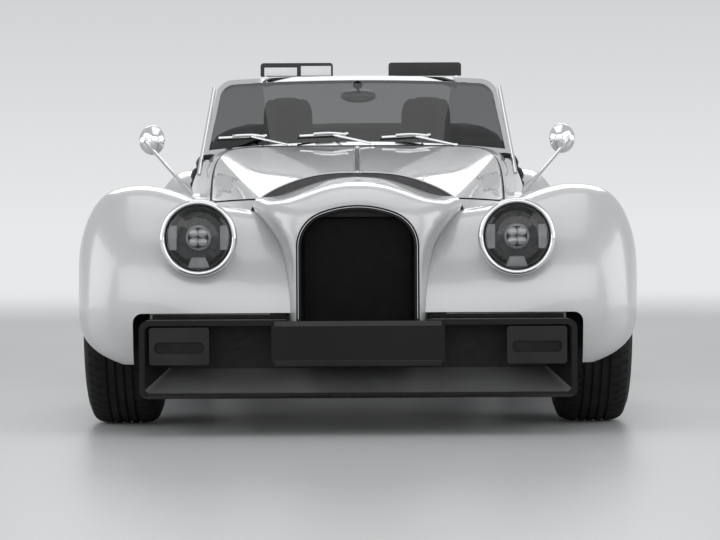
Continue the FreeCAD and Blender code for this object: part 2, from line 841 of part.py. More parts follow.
def screen_sheet(thickness, setback):
    """The windscreen's curved surface as a sheet, set back from its front face."""
    face = Part.makeRuledSurface(through(SCREEN_FOOT), through(SCREEN_HEAD))
    face.translate(SCREEN_BACK * setback)
    return face.extrude(SCREEN_BACK * thickness)


def screen_prism(inset):
    """The screen's outline as seen from the front, made a prism along the car."""
    foot_half = float(S.screen_foot_half) - 6 - inset
    head_half = float(S.screen_head_half) + 5 - inset
    corner = 52 - inset * 0.6
    foot_end, foot_middle = screen_foot_z + 4 + inset, screen_foot_z + 29 + inset
    head_end, head_middle = screen_head_z + 2 - inset, screen_head_z + 11 - inset
    side = (head_half - foot_half) / (head_end - foot_end)

    def at(x, z):
        return Vector(x, screen_foot_y - 500, z)

    shoulder_z = head_end - corner
    shoulder_x = foot_half + side * (shoulder_z - foot_end)
    turn = corner * 0.29
    edges = [through((at(-foot_half, foot_end), at(0, foot_middle), at(foot_half, foot_end))),
             Part.makeLine(at(foot_half, foot_end), at(shoulder_x, shoulder_z)),
             through((at(shoulder_x, shoulder_z), at(head_half - turn, head_end - turn),
                      at(head_half - corner, head_end))),
             through((at(head_half - corner, head_end), at(0, head_middle), at(corner - head_half, head_end))),
             through((at(corner - head_half, head_end), at(turn - head_half, head_end - turn),
                      at(-shoulder_x, shoulder_z))),
             Part.makeLine(at(-shoulder_x, shoulder_z), at(-foot_half, foot_end))]
    return Part.Face(Part.Wire(edges)).extrude(Vector(0, 1400, 0))


def windscreen():
    tube = float(S.frame_tube)
    wall = float(S.screen_wall)
    frame = screen_sheet(tube, 0).common(screen_prism(0)).cut(screen_prism(tube - 6)).cut(blocks.cabin)
    glass = screen_sheet(wall, tube / 2 - wall / 2).common(screen_prism(tube - 6 + float(S.seat_clearance)))
    glass = glass.cut(blocks.cabin)
    post = rod("ScreenPostBar", (S.screen_foot_half + 11.5, screen_foot_y - 39, screen_foot_z - 68),
               (S.screen_head_half + 18, screen_foot_y + 184, screen_head_z - 26), 8)
    post = cut("ScreenPost", post, feature("PostTrim", blocks.cabin))
    finish("windscreen_frame", group("WindscreenFrame", [feature("ScreenFrame", frame), post,
                                                         mirrored("ScreenPostTwin", post)]))
    finish("windscreen_glass", feature("WindscreenGlass", glass))


def wipers():
    """Three arms on spindles, with their blades laid against the glass."""
    middle = SCREEN_FOOT[1]
    pivots = ((-235, middle.y - 55), (55, middle.y - 67), (346, middle.y - 49))
    pieces = []
    for index, (x, y) in enumerate(pivots):
        foot = float(S.scuttle_height) - 4 - abs(x) * 0.02
        tip_z = foot + 52
        tip_x = x - 178
        slope = (tip_x / float(S.screen_foot_half)) ** 2
        tip_y = middle.y + slope * SCREEN_BOW + (tip_z - middle.z + 25 * slope) * 0.77 - 20
        spindle = cylinder(f"WiperSpindle{index}", (x, y, foot), 8, 20)
        arm = rod(f"WiperArm{index}", (x, y, foot + 16), (tip_x + 30, tip_y, tip_z), 4)
        blade = rod(f"WiperBlade{index}", (tip_x - 80, tip_y + 2, tip_z - 6), (tip_x + 92, tip_y - 2, tip_z + 2), 5)
        pieces.append(fuse(f"Wiper{index}", [spindle, arm, blade]))
    finish("wipers", cut("WipersTrimmed", group("Wipers", pieces), feature("WiperTrim", blocks.cabin)))


# Nose: bumper, lamps, plate and grille

def front_bumper():
    """A deep tray with rounded corners, whose sides and floor run in to a back wall over a splitter lip."""
    half, rim, bottom, top = S.bumper_half_width, S.bumper_rim, S.bumper_bottom, S.bumper_top
    corner = S.bumper_corner
    wall_y = bumper_back_y - S.bumper_wall
    mouth_y = bumper_front_y - 1
    floor = bottom + 20
    tray = rounded_slab((-half, bumper_front_y, bottom), (half, bumper_back_y, top), corner)
    lip = slab((-half + corner, nose_y, bottom), (half - corner, bumper_front_y + 6, floor))
    mouth = rounded_slab((-half + rim, mouth_y, floor), (half - rim, wall_y, top - rim), rim)
    inner = rounded_slab((-half + rim + S.bumper_slope, mouth_y, floor + S.bumper_slope),
                         (half - rim - S.bumper_slope, wall_y, top - rim - 4), rim / 2)
    ends = [min(mouth.Faces, key=lambda face: face.CenterOfMass.y).OuterWire,
            max(inner.Faces, key=lambda face: face.CenterOfMass.y).OuterWire]
    tray = tray.fuse(lip).cut(Part.makeLoft(ends, True, True))
    under = side_prism(half + 10, [(nose_y - 1, floor - 6), (nose_y + 80, bottom), (bumper_back_y + 1, bottom + 36),
                                   (bumper_back_y + 1, bottom - 20), (nose_y - 1, bottom - 20)])
    notch = S.grille_half_width + 34
    above = slab((-notch, nose_y - 10, S.cowl_bottom - S.panel_gap), (notch, bumper_back_y + 10, top + 10))
    cap = Part.makeCylinder(15, 4, Vector(-373, float(wall_y) - 3, 263), Vector(0, 1, 0))
    finish("front_bumper", feature("FrontBumper", tray.cut(under).cut(above).fuse(cap).removeSplitter()))


def bumper_lamps():
    """A flat lamp with a rounded slot on each side, held off the bumper's back wall."""
    low_x = S.bumper_lamp_centre - S.bumper_lamp_width / 2
    high_x = low_x + S.bumper_lamp_width
    middle_z = 265
    low_z = middle_z - S.bumper_lamp_height / 2
    lamp = rounded_slab((low_x, bumper_front_y, low_z),
                        (high_x, bumper_front_y + 14, low_z + S.bumper_lamp_height), 9)
    slot = rounded_slab((low_x + 15, bumper_front_y - 1, middle_z - 21),
                        (high_x - 15, bumper_front_y + 10, middle_z + 12), 14)
    arm_back = bumper_back_y - S.bumper_wall - S.seat_clearance
    arm = slab((S.bumper_lamp_centre - 30, bumper_front_y + 13, middle_z - 20),
               (S.bumper_lamp_centre + 30, arm_back, middle_z + 20))
    whole = lamp.cut(slot).fuse(arm).removeSplitter()
    finish("bumper_lamps", both_sides("BumperLamps", feature("BumperLamp", whole)))


def number_plates():
    half, low = S.plate_width / 2, S.plate_centre - S.plate_height / 2
    plate = rounded_slab((-half, nose_y, low), (half, nose_y + S.plate_wall, low + S.plate_height), 6)
    back = bumper_back_y - S.bumper_wall - S.seat_clearance
    bracket = slab((-150, nose_y + S.plate_wall - 1, low + 8), (150, back, low + 62))
    finish("number_plate", feature("NumberPlate", plate.fuse(bracket).removeSplitter()))


def arch_face(inset, foot, y):
    """The grille's outline, with straight sides under an arch of two side arcs and a flatter crown."""
    half = float(S.grille_half_width) - inset
    rise = float(S.grille_rise) - inset
    spring = float(S.grille_spring)
    side_radius = float(S.grille_side_radius) - inset
    centre_x = half - side_radius
    drop = rise - side_radius
    below = (centre_x ** 2 - drop ** 2) / (2 * drop)
    turn = math.atan2(below, centre_x)

    def on_side(angle):
        return Vector(centre_x + side_radius * math.cos(angle), y, spring + side_radius * math.sin(angle))

    def across(point):
        return Vector(-point.x, point.y, point.z)

    shoulder = on_side(turn)
    crown = Vector(0, y, spring + rise)
    edges = [Part.makeLine(Vector(-half, y, foot), Vector(half, y, foot)),
             Part.makeLine(Vector(half, y, foot), on_side(0)),
             through((on_side(0), on_side(turn / 2), shoulder)),
             through((shoulder, crown, across(shoulder))),
             through((across(shoulder), across(on_side(turn / 2)), across(on_side(0)))),
             Part.makeLine(across(on_side(0)), Vector(-half, y, foot))]
    return Part.Face(Part.Wire(edges))


def grille():
    """An arched ring, with a punched mesh behind it and a blank shelf in the arch's crown."""
    foot, wall = float(S.cowl_bottom) + 2, float(S.grille_wall)
    front = float(cowl_front_y) - 9 - float(S.seat_clearance)
    inside = arch_face(wall, foot + wall, front - 1).extrude(Vector(0, 60, 0))
    ring = arch_face(2 - wall, foot, front).extrude(Vector(0, 9, 0)).cut(inside)
    sleeve = arch_face(RIM_INSET, foot, front + 1).extrude(Vector(0, 44, 0)).cut(inside)
    plate = arch_face(wall, foot + wall, front + 38).extrude(Vector(0, 4, 0))
    whole = ring.fuse(sleeve).fuse(plate.cut(mesh_holes(foot + wall, front + 30))).removeSplitter()
    finish("grille", feature("Grille", whole))


def mesh_holes(foot, y):
    """Diamond holes on a staggered grid, kept clear of the plate's edge and of the shelf above."""
    pitch, bar = float(S.mesh_pitch), float(S.mesh_bar)
    half = float(S.grille_half_width - S.grille_wall)
    reach = (pitch - bar) / 2
    shelf = float(S.grille_spring + S.grille_rise - S.grille_wall) - 34
    room = arch_face(float(S.grille_wall) + 3, foot + 2, y)
    holes = []
    row_count = int((shelf - foot) / (pitch / 2))
    for row in range(1, row_count):
        z = foot + row * pitch / 2 + 4
        shift = pitch / 2 if row % 2 else 0
        column_count = int(half / pitch) + 1
        for column in range(-column_count, column_count + 1):
            x = column * pitch + shift
            corners = [Vector(x + reach, y, z), Vector(x, y, z + reach), Vector(x - reach, y, z),
                       Vector(x, y, z - reach)]
            if z + reach > shelf or not all(room.isInside(corner, 0.01, True) for corner in corners):
                continue
            hole = Part.Face(Part.makePolygon(corners + corners[:1]))
            holes.append(hole.extrude(Vector(0, 20, 0)))
    return Part.makeCompound(holes)


def lamp_pod(extra):
    """The tapered housing that sits in the wing."""
    front = float(lamp_front_y) + 14
    length = float(S.lamp_depth) - 14 + extra
    return Part.makeCone(float(S.lamp_radius) + extra, float(S.lamp_radius) - 20 + extra, length,
                         Vector(float(S.lamp_centre), front, float(S.lamp_height)), Vector(0, 1, 0))


def headlamps():
    """Each lamp is a housing with a bright rim, a dark bowl with its projector, and a domed glass."""
    front, radius, depth = lamp_front_y, S.lamp_radius, S.lamp_depth
    mouth = radius - S.lamp_rim
    shell = doc.addObject("PartDesign::Body", "HeadlampShell")
    revolved(shell, "ShellTurned", "XY_Plane", "V_Axis", [
        (mouth, 0), (radius - 9, 0), (radius - 4, 4), (radius, 14), (radius - 20, depth), (0, depth),
        (0, depth - 6), (radius - 27, depth - 6), (radius - 12, 24), (mouth, 20)])
    place(shell, S.lamp_centre, front, S.lamp_height)
    finish("headlamp_shells", both_sides("HeadlampShells", shell))
    bowl_edge = mouth - S.seat_clearance
    bowl = doc.addObject("PartDesign::Body", "HeadlampBowl")
    revolved(bowl, "BowlTurned", "XY_Plane", "V_Axis", [
        (0, 6), (22, 9), (31, 18), (31, 52), (mouth - 24, 52), (bowl_edge, 12),
        (bowl_edge, 20), (mouth - 18, 60), (0, 60)])
    place(bowl, S.lamp_centre, front, S.lamp_height)
    finish("headlamp_bowls", both_sides("HeadlampBowls", bowl))
    lens = doc.addObject("PartDesign::Body", "HeadlampLens")
    revolved(lens, "LensTurned", "XY_Plane", "V_Axis", [
        (0, -26), (30, -23.5), (60, -15.5), (84, -4), (mouth - 1, 4), (mouth - 1, 8), (84, 0), (60, -11.5),
        (30, -19.5), (0, -22)])
    place(lens, S.lamp_centre, front, S.lamp_height)
    finish("headlamp_lenses", both_sides("HeadlampLenses", lens))


# Wheels, brakes and steering

def tyre(label, width, x, y, side):
    half = width / 2
    bead, tread = S.rim_radius, S.tyre_radius
    body = doc.addObject("PartDesign::Body", "Tyre_" + label)
    revolved(body, "Tyre_turned_" + label, "XZ_Plane", "H_Axis", [
        (-half + 8, bead), (-half, bead + 34), (-half + 7, tread - 34), (-half + 18, tread - 12),
        (-half + 42, tread - 1), (0, tread), (half - 42, tread - 1), (half - 18, tread - 12),
        (half - 7, tread - 34), (half, bead + 34), (half - 8, bead)])
    place(body, side * x, y, S.tyre_radius)
    finish("tyre_" + label, body)


def wheel(label, width, x, y, side):
    """Rim, spokes, hub and brake disc, which turn as one."""
    half = width / 2
    outer, inner = S.rim_radius, S.rim_radius - S.rim_wall
    body = doc.addObject("PartDesign::Body", "Wheel_" + label)
    revolved(body, "Barrel_" + label, "XZ_Plane", "H_Axis", [
        (-half, inner - 4), (-half, outer + 8), (-half + 6, outer + 8),
        (-half + 7, outer), (half - 7, outer),
        (half - 6, outer + 8), (half, outer + 8), (half, inner - 4)])
    hub_face = half - S.hub_setback
    bore = S.spindle_radius + S.bearing_clearance
    disc_face = -S.disc_inset + S.disc_depth
    revolved(body, "Hub_" + label, "XZ_Plane", "H_Axis", [
        (-S.disc_inset, bore), (-S.disc_inset, S.disc_radius), (disc_face, S.disc_radius),
        (disc_face, S.hub_radius), (hub_face, S.hub_radius), (hub_face, 0), (hub_face - S.hub_cap, 0),
        (hub_face - S.hub_cap, bore)])
    spoke = padded(body, "Spoke_" + label, "XY_Plane", [
        (hub_face - S.spoke_depth, S.hub_radius - 6), (hub_face - 2, S.hub_radius - 6),
        (half - 6, S.rim_radius - 7), (half - 6 - S.spoke_depth, S.rim_radius - 7)],
        S.spoke_width, both_ways=True)
    repeated(body, "Spokes_" + label, spoke, "X_Axis", S.spoke_count)
    turn = Rotation() if side > 0 else Rotation(Vector(0, 0, 1), 180)
    place(body, side * x, y, S.tyre_radius, turn)
    finish("wheel_" + label, body)


def spindle_length(width):
    """From the upright's middle to just short of the hub's cap."""
    return width / 2 + S.upright_inset - S.hub_setback - S.hub_cap - 6


def knuckle(label, side):
    """The steered upright with its ball joints, spindle and brake caliper."""
    x0 = S.tyre_centre
    z0 = S.tyre_radius
    height = S.ball_height
    upright_x = side * (x0 - S.upright_inset)
    plate = centred_box("Upright_" + label, (upright_x, front_axle_y, z0),
                        (36, S.upright_width * 2, 2 * height + 24))
    stub = cylinder("Spindle_" + label, (upright_x, front_axle_y, z0), S.spindle_radius,
                    spindle_length(S.tyre_width), Rotation(Vector(0, 0, 1), Vector(side, 0, 0)))
    pieces = [plate, stub]
    for end in (-1, 1):
        lug_height = 24
        pieces.append(centred_box(f"Lug_{label}_{end + 1}",
                                  (side * (x0 - S.kingpin_offset - 12), front_axle_y, z0 + end * height),
                                  (54, 34, lug_height)))
    caliper_x = x0 - S.disc_inset + S.disc_depth / 2
    caliper = centred_box("Caliper_" + label, (side * caliper_x, front_axle_y + 150, z0 + 20),
                          (S.caliper_depth + S.disc_depth, 62, 130))
    gap = centred_box("CaliperGap_" + label, (side * caliper_x, front_axle_y + 120, z0 + 20),
                      (S.disc_depth + 2 * S.panel_gap, 110, 160))
    bridge = centred_box("CaliperArm_" + label, (side * (x0 - 96), front_axle_y + 80, z0 + 20), (28, 110, 60))
    pieces.append(cut("CaliperBody_" + label, caliper, gap))
    pieces.append(bridge)
    finish("knuckle_" + label, fuse("Knuckle_" + label, pieces))


def wheels():
    for side, name in ((1, "left"), (-1, "right")):
        tyre("front_" + name, S.tyre_width, S.tyre_centre, front_axle_y, side)
        wheel("front_" + name, S.tyre_width, S.tyre_centre, front_axle_y, side)
        tyre("rear_" + name, S.rear_tyre_width, S.rear_tyre_centre, rear_axle_y, side)
        wheel("rear_" + name, S.rear_tyre_width, S.rear_tyre_centre, rear_axle_y, side)
        knuckle(name, side)


def suspension():
    """Wishbones on towers at the front, and a cross tube with the fixed spindles at the rear."""
    tower_foot, tower_head = S.tyre_radius - S.ball_height - 40, S.tyre_radius + S.ball_height + 40
    pieces = [box("SuspensionTower", (rail_outer + S.seat_clearance, front_axle_y - 150, tower_foot),
                  (26, 300, tower_head - tower_foot))]
    kingpin_x = S.tyre_centre - S.kingpin_offset
    for name, z in (("Upper", S.tyre_radius + S.ball_height + 22), ("Lower", S.tyre_radius - S.ball_height - 22)):
        for end in (-1, 1):
            pieces.append(rod(f"{name}Arm{end + 1}", (rail_outer + 20, front_axle_y + end * 120, z),
                              (kingpin_x, front_axle_y, z), 9))
        pieces.append(cylinder(name + "Joint", (kingpin_x, front_axle_y, z - 9.7), 15, 19.4))
    side = fuse("FrontSuspensionSide", pieces)
    front = both_sides("FrontSuspension", side)
    half = S.rear_tyre_centre - S.upright_inset
    beam = cylinder("RearBeam", (-half, rear_axle_y, S.tyre_radius), 38, half * 2, ALONG_X)
    housing = doc.addObject("PartDesign::Body", "DifferentialHousing")
    revolved(housing, "DifferentialTurned", "XY_Plane", "V_Axis", [
        (0, -95), (45, -90), (95, -55), (118, -30), (118, 30), (90, 62), (0, 78)])
    place(housing, 0, rear_axle_y, S.tyre_radius)
    pieces = [beam, housing]
    for side in (1, -1):
        pieces.append(centred_box(f"Carrier{side + 1}", (side * half, rear_axle_y, S.tyre_radius), (36, 120, 170)))
        pieces.append(cylinder(f"RearSpindle{side + 1}", (side * half, rear_axle_y, S.tyre_radius),
                               S.spindle_radius, spindle_length(S.rear_tyre_width),
                               Rotation(Vector(0, 0, 1), Vector(side, 0, 0))))
        pieces.append(box(f"TrailingArm{side + 1}", (side * 500 - 20, floor_back + S.seat_clearance, 292),
                          (40, rear_axle_y - floor_back, 46)))
    finish("suspension", group("Suspension", [front, fuse("RearSuspension", pieces)]))


STEERING_TILT = Vector(0, 0.906, 0.423)
steering_centre = Vector(float(S.seat_centre), float(door_front_y + S.steering_wheel_behind),
                         float(S.steering_wheel_height))
column_start = steering_centre - STEERING_TILT * 265


def steering():
    """The column, and the wheel that turns on its end."""
    centre = steering_centre
    tilt = STEERING_TILT
    turn = Rotation(Vector(0, 0, 1), tilt)
    radius = S.steering_wheel_radius
    column = rod("ColumnTube", column_start, centre - tilt * 40, 26)
    tip = rod("ColumnTip", centre - tilt * 41, centre - tilt * 8, 12)
    fuse("SteeringColumn", [column, tip])
    rim = doc.addObject("Part::Torus", "SteeringRim")
    bind(rim, "Radius1", radius)
    rim.Radius2 = 14
    place(rim, *centre, turn)
    boss = cylinder("SteeringBoss", centre - tilt * 34, 45, 50, turn)
    bore = cylinder("SteeringBore", centre - tilt * 35, 12.05, 32, turn)
    pieces = [rim, boss]
    for index, angle in enumerate((0, 180, 270)):
        spoke = doc.addObject("Part::Box", f"SteeringSpoke{index}")
        spoke.Length = radius.value - 4
        spoke.Width = 34
        spoke.Height = 12
        lift = Placement(Vector(0, -17, -8), Rotation())
        swing = Placement(Vector(), Rotation(Vector(0, 0, 1), angle))
        spoke.Placement = Placement(centre, turn) * swing * lift
        pieces.append(spoke)
    finish("steering_wheel", cut("SteeringWheel", fuse("SteeringWhole", pieces), bore))


# Frame, cabin and rear

def chassis():
    """Floor, sills, bulkheads and rails, bonded into one tub."""
    floor_front = scuttle_front_y
    length = floor_back - floor_front
    half = tub_half
    pieces = [box("Floor", (-half, floor_front, S.floor_height), (half * 2, length, S.floor_wall))]
    for side in (1, -1):
        pieces.append(centred_box(f"Sill{side + 1}", (side * (half - S.sill_width / 2),
                                                      door_front_y + S.door_length / 2,
                                                      (S.floor_height + S.sill_height) / 2),
                                  (S.sill_width, S.door_length, S.sill_height - S.floor_height)))
        skirt = block_loft(cabin_stations, float(S.panel_wall + S.seat_clearance))
        skirt = skirt.common(slab((tub_half - 20, door_front_y, S.body_bottom), (FAR, door_rear_y, S.sill_height)))
        pieces.append(feature(f"SillSkirt{side + 1}", skirt if side > 0 else mirror_shape(skirt)))
        rail_front = bumper_back_y + S.seat_clearance
        pieces.append(box(f"FrontRail{side + 1}", (side * (rail_outer - 30) - 30, rail_front, S.floor_height - 20),
                          (60, floor_front - rail_front + 20, 110)))
        beam = slab((262, rail_front + 8, S.floor_height + 80), (620, rail_front + 50, S.bumper_top + 54))
        pieces.append(feature(f"CrashBeam{side + 1}", beam if side > 0 else mirror_shape(beam)))
        pieces.append(box(f"RearRail{side + 1}", (side * rear_rail - 30, floor_back - 20, S.floor_height + 20),
                          (60, tail_y - 130 - floor_back, 60)))
    for index, y in enumerate((front_axle_y + 60, front_axle_y + 520)):
        pieces.append(box(f"EngineBeam{index}", (-280, y, S.floor_height), (560, 60, 214.7 - S.floor_height)))
    pieces.append(box("FrontBulkhead", (-430, scuttle_front_y + 40, S.floor_height), (860, 20, 600)))
    pieces += cabin_floor_fittings(scuttle_front_y + 60)
    bulkhead = block_loft(tail_stations, float(S.panel_wall + S.seat_clearance))
    bulkhead = bulkhead.common(slab((-FAR, floor_back - 20, 0), (FAR, floor_back, S.hood_seat)))
    for turn in (False, True):
        space = wheel_space(rear_axle_y, S.arch_radius + S.liner_wall + 2, 570)
        bulkhead = bulkhead.cut(mirror_shape(space) if turn else space)
    pieces.append(feature("RearBulkhead", bulkhead))
    pieces.append(box("RearBulkheadFoot", (-half, floor_back - 20, S.floor_height), (half * 2, 20, 130)))
    finish("chassis_tub", fuse("ChassisTub", pieces))


def cabin_floor_fittings(bulkhead_y):
    """The transmission tunnel with its gear lever, and the pedals that hang from the bulkhead."""
    half, top, floor = S.tunnel_half_width, S.tunnel_height, S.floor_height + S.floor_wall
    tunnel_back = door_rear_y - 30
    tunnel = rounded_slab((-half, bulkhead_y - 5, S.floor_height), (half, tunnel_back, top), 24)
    tunnel = tunnel.common(slab((-FAR, -FAR, S.floor_height + 5), (FAR, FAR, FAR)))
    lever_y = float(door_front_y + S.door_length * 0.38)
    lever = rod("GearLever", (0, lever_y, top - 4), (0, lever_y - 30, top + 105), 6)
    knob = rod("GearKnob", (0, lever_y - 26, top + 92), (0, lever_y - 37, top + 130), 20)
    pieces = [feature("Tunnel", tunnel), lever, knob]
    for index, (offset, width) in enumerate(((-110, 50), (-20, 56), (70, 44))):
        x = float(S.seat_centre) + offset
        pieces.append(box(f"PedalArm{index}", (x - 6, bulkhead_y - 2, floor + 120), (12, 26, 300)))
        pieces.append(box(f"PedalPad{index}", (x - width / 2, bulkhead_y + 20, floor + 100), (width, 10, 64)))
    return pieces


def engine():
    finish("engine", box("Engine", (-230, front_axle_y - 20, 215), (460, 640, 430)))


def dashboard():
    body = doc.addObject("PartDesign::Body", "Dashboard")
    face = scuttle_rear_y + 50
    padded(body, "DashPad", "YZ_Plane", [
        (face - 140, S.scuttle_height - 283), (face - 60, S.scuttle_height - 293), (face, S.scuttle_height - 213),
        (face, S.scuttle_height - 93), (face - 40, S.scuttle_height - 43), (face - 140, S.scuttle_height - 31)],
        (S.scuttle_width - 112) * 2, both_ways=True)
    room = block_loft(cabin_stations, float(S.panel_wall + S.seat_clearance))
    tube_end = Vector(-FAR, float(face) - 125, float(S.scuttle_height) - 160)
    tube = Part.makeCylinder(14, 2 * FAR, tube_end, Vector(1, 0, 0))
    rail = feature("DashTube", tube.common(room))
    finish("dashboard", fuse("DashboardWhole", [body, rail, doc.getObject("SteeringColumn")]))


def seats():
    """Plain soft forms: cushion, back and the narrow headrest."""
    seat_foot = S.floor_height + S.floor_wall + S.seat_clearance
    back = door_rear_y
    for side, name in ((1, "left"), (-1, "right")):
        body = doc.addObject("PartDesign::Body", "SeatProfile_" + name)
        padded(body, "SeatPad_" + name, "YZ_Plane", [
            (back - 550, seat_foot), (back - 560, 330), (back - 520, 360), (back - 160, 320), (back - 110, 560),
            (back - 60, 900), (back + 60, 900), (back + 40, 560), (back - 20, seat_foot)],
            S.seat_width, both_ways=True)
        place(body, side * S.seat_centre, 0, 0)
        head = doc.addObject("PartDesign::Body", "HeadrestProfile_" + name)
        padded(head, "HeadrestPad_" + name, "YZ_Plane", [
            (back - 80, 860), (back - 65, S.headrest_top - 38), (back - 35, S.headrest_top),
            (back + 20, S.headrest_top), (back + 50, S.headrest_top - 48), (back + 55, 860)],
            184, both_ways=True)
        place(head, side * S.seat_centre, 0, 0)
        finish("seat_" + name, fuse("Seat_" + name, [body, head]))


def folded_hood():
    """The hood's folded stack, laid over the rear of the cockpit."""
    bottom = float(S.hood_seat + S.seat_clearance)
    widest = float(S.tail_front_width) + 17

    def hood_station(behind, tuck, share):
        half = widest - tuck
        rise = float(S.hood_rise) * share
        poles = [(half - 32, 0), (half, rise * 0.10), (half - 8, rise * 0.29), (half - 40, rise * 0.52),
                 (half - 85, rise * 0.76), (half - 170, rise * 0.97), (half * 0.55, rise), (half * 0.3, rise),
                 (0, rise)]
        return station(tail_front_y + behind, bottom, 90, full_section(poles))

    stack = [hood_station(72, 90, 0.72), hood_station(105, 14, 0.93), hood_station(190, 0, 1.0),
             hood_station(300, 12, 0.90), hood_station(362, 45, 0.52)]
    finish("folded_hood", feature("FoldedHood", block_loft(stack)))


def bar_between(start, end, radius):
    """A plain round bar between two points."""
    run = end - start
    return Part.makeCylinder(float(radius), run.Length, start, run)


def mirrors():
    """Bright dished heads, turned to the driver, on straight stalks that stand on the scuttle's sides."""
    foot = Vector(float(S.scuttle_width) + 8, float(scuttle_rear_y) - 45, float(S.scuttle_height) - 173)
    head = Vector(745, float(scuttle_rear_y) - 85, float(S.scuttle_height) + 32)
    facing = Vector(0.57, -0.82, 0.02).normalize()
    tip = head + facing * 24
    run = (tip - foot).normalize()
    radius = float(S.mirror_radius)
    outline = [(0, -16), (20, -14), (38, -4), (radius - 3, 12), (radius, 24), (radius, 28), (radius - 4, 30), (0, 27)]
    points = [Vector(x, y, 0) for x, y in outline]
    dish = Part.Face(Part.makePolygon(points + points[:1])).revolve(Vector(), Vector(0, 1, 0), 360)
    dish.Placement = Placement(head, Rotation(Vector(0, 1, 0), -facing))
    base = Part.makeCylinder(18, 70, Vector(float(S.scuttle_width) - 55, foot.y, foot.z - 4), Vector(1, 0, 0))
    whole = base.fuse([bar_between(foot, tip, 7), bar_between(foot + run * 24, foot + run * 62, 12),
                       bar_between(head + facing * 8, head + facing * 32, 9), dish])
    finish("wing_mirrors", both_sides("WingMirrors", feature("WingMirror", largest(whole.cut(blocks.cabin)))))


def screen_fittings():
    """The inside mirror and the two sun visors, folded up over the screen's head."""
    head = SCREEN_HEAD[1]
    mount = cylinder("InsideMirrorMount", (3, head.y - 8.2, head.z - 32.2), 15, 14,
                     Rotation(Vector(0, 0, 1), SCREEN_BACK))
    stem = rod("InsideMirrorStem", (3, head.y + 2, head.z - 41), (6, head.y + 34, head.z - 62), 7)
    pod = centred_box("InsideMirrorPod", (6, head.y + 42, head.z - 64), (128, 24, 40))
    pieces = [fuse("InteriorMirror", [mount, stem, pod])]
    for index, (low, high) in enumerate(((-348, -86), (115, 378))):
        pieces.append(centred_box(f"SunVisor{index}", ((low + high) / 2, head.y + 22, head.z + 21),
                                  (high - low, 12, 50)))
    finish("screen_fittings", group("ScreenFittings", pieces))


REAR_LAMP = Vector(700, 0, 540)
REAR_LAMP_RADIUS = 46


def rear_lamp_space(extra):
    start = Vector(REAR_LAMP.x, float(tail_y) - 240 - extra, REAR_LAMP.z)
    return Part.makeCylinder(REAR_LAMP_RADIUS + extra, 200, start, Vector(0, 1, 0))


def tail_fittings():
    lamp = doc.addObject("PartDesign::Body", "RearLamp")
    radius = REAR_LAMP_RADIUS
    revolved(lamp, "RearLampTurned", "XY_Plane", "V_Axis", [
        (0, 0), (radius, 0), (radius, 50), (radius - 6, 62), (0, 70)])
    place(lamp, REAR_LAMP.x, tail_y - 240, REAR_LAMP.z)
    finish("rear_lamps", both_sides("RearLamps", lamp))
    bar = slab((-590, tail_y - 44, 265), (590, tail_y, 395))
    upright = [edge for edge in bar.Edges if abs(edge.Vertexes[0].Z - edge.Vertexes[-1].Z) > 1
               and edge.Vertexes[0].Y > float(tail_y) - 1]
    bumper = feature("RearBumperBar", bar.makeFillet(40, upright))
    arms = [box(f"RearBumperArm{side + 1}", (side * rear_rail - 25, tail_y - 150 + S.seat_clearance, 190),
                (50, 130, 90))
            for side in (1, -1)]
    finish("rear_bumper", fuse("RearBumper", [bumper] + arms))
    pipe_height = 210
    pipe = cylinder("ExhaustPipe", (412, rear_axle_y + 160, pipe_height), S.exhaust_radius,
                    tail_y - rear_axle_y - 190, ALONG_Y)
    silencer = cylinder("Silencer", (412, rear_axle_y + 180, pipe_height), 80, 300, ALONG_Y)
    hanger = box("ExhaustHanger", (rear_rail + 30 + S.seat_clearance, rear_axle_y + 300, pipe_height - 5),
                 (40, 40, 12))
    finish("exhaust", both_sides("Exhaust", fuse("ExhaustSide", [pipe, silencer, hanger])))


front_wings()
rear_wings()
bonnets()
side_panels()
scuttle()
doors()
hinges()
tail()
wheel_liners()
cowl()
windscreen()
wipers()
front_bumper()
bumper_lamps()
number_plates()
grille()
headlamps()
wheels()
suspension()
steering()
chassis()
engine()
dashboard()
seats()
folded_hood()
mirrors()
screen_fittings()
tail_fittings()

doc.recompute()
for thing in doc.Objects:
    if "Invalid" in thing.State or "Error" in thing.State:
        raise RuntimeError(f"{thing.Label}: {thing.State}")
os.makedirs("parts", exist_ok=True)
for piece in finished:
    if piece.Shape.isNull() or not piece.Shape.isValid():
        raise RuntimeError(f"{piece.Label} has no valid shape")
    piece.Shape.exportStep(f"parts/{piece.Label}.step")
    bounds = piece.Shape.BoundBox
    print(piece.Label, len(piece.Shape.Solids), round(piece.Shape.Volume / 1e6, 2),
          [round(v) for v in (bounds.XMin, bounds.XMax, bounds.YMin, bounds.YMax, bounds.ZMin, bounds.ZMax)])
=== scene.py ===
"""An open two-seat roadster with separate wings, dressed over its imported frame."""
import json
import math

import bmesh
import bpy
from mathutils import Matrix, Vector, noise


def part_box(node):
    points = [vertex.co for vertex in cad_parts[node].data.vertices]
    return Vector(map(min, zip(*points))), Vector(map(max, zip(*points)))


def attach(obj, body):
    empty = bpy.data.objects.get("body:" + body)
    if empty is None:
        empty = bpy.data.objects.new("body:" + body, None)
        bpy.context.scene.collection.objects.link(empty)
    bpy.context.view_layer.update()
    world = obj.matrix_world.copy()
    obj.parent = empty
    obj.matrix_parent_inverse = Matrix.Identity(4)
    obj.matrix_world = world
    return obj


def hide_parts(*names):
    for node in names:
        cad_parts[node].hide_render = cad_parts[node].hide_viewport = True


bl_info = {
    "name": "Roadster Dresser",
    "version": (1, 0, 0),
    "blender": (4, 5, 0),
    "location": "View3D > Sidebar > Roadster",
    "description": "Gives the roadster its paint, trim, tyres, seats, hood, lamps and stage",
    "category": "Object",
}

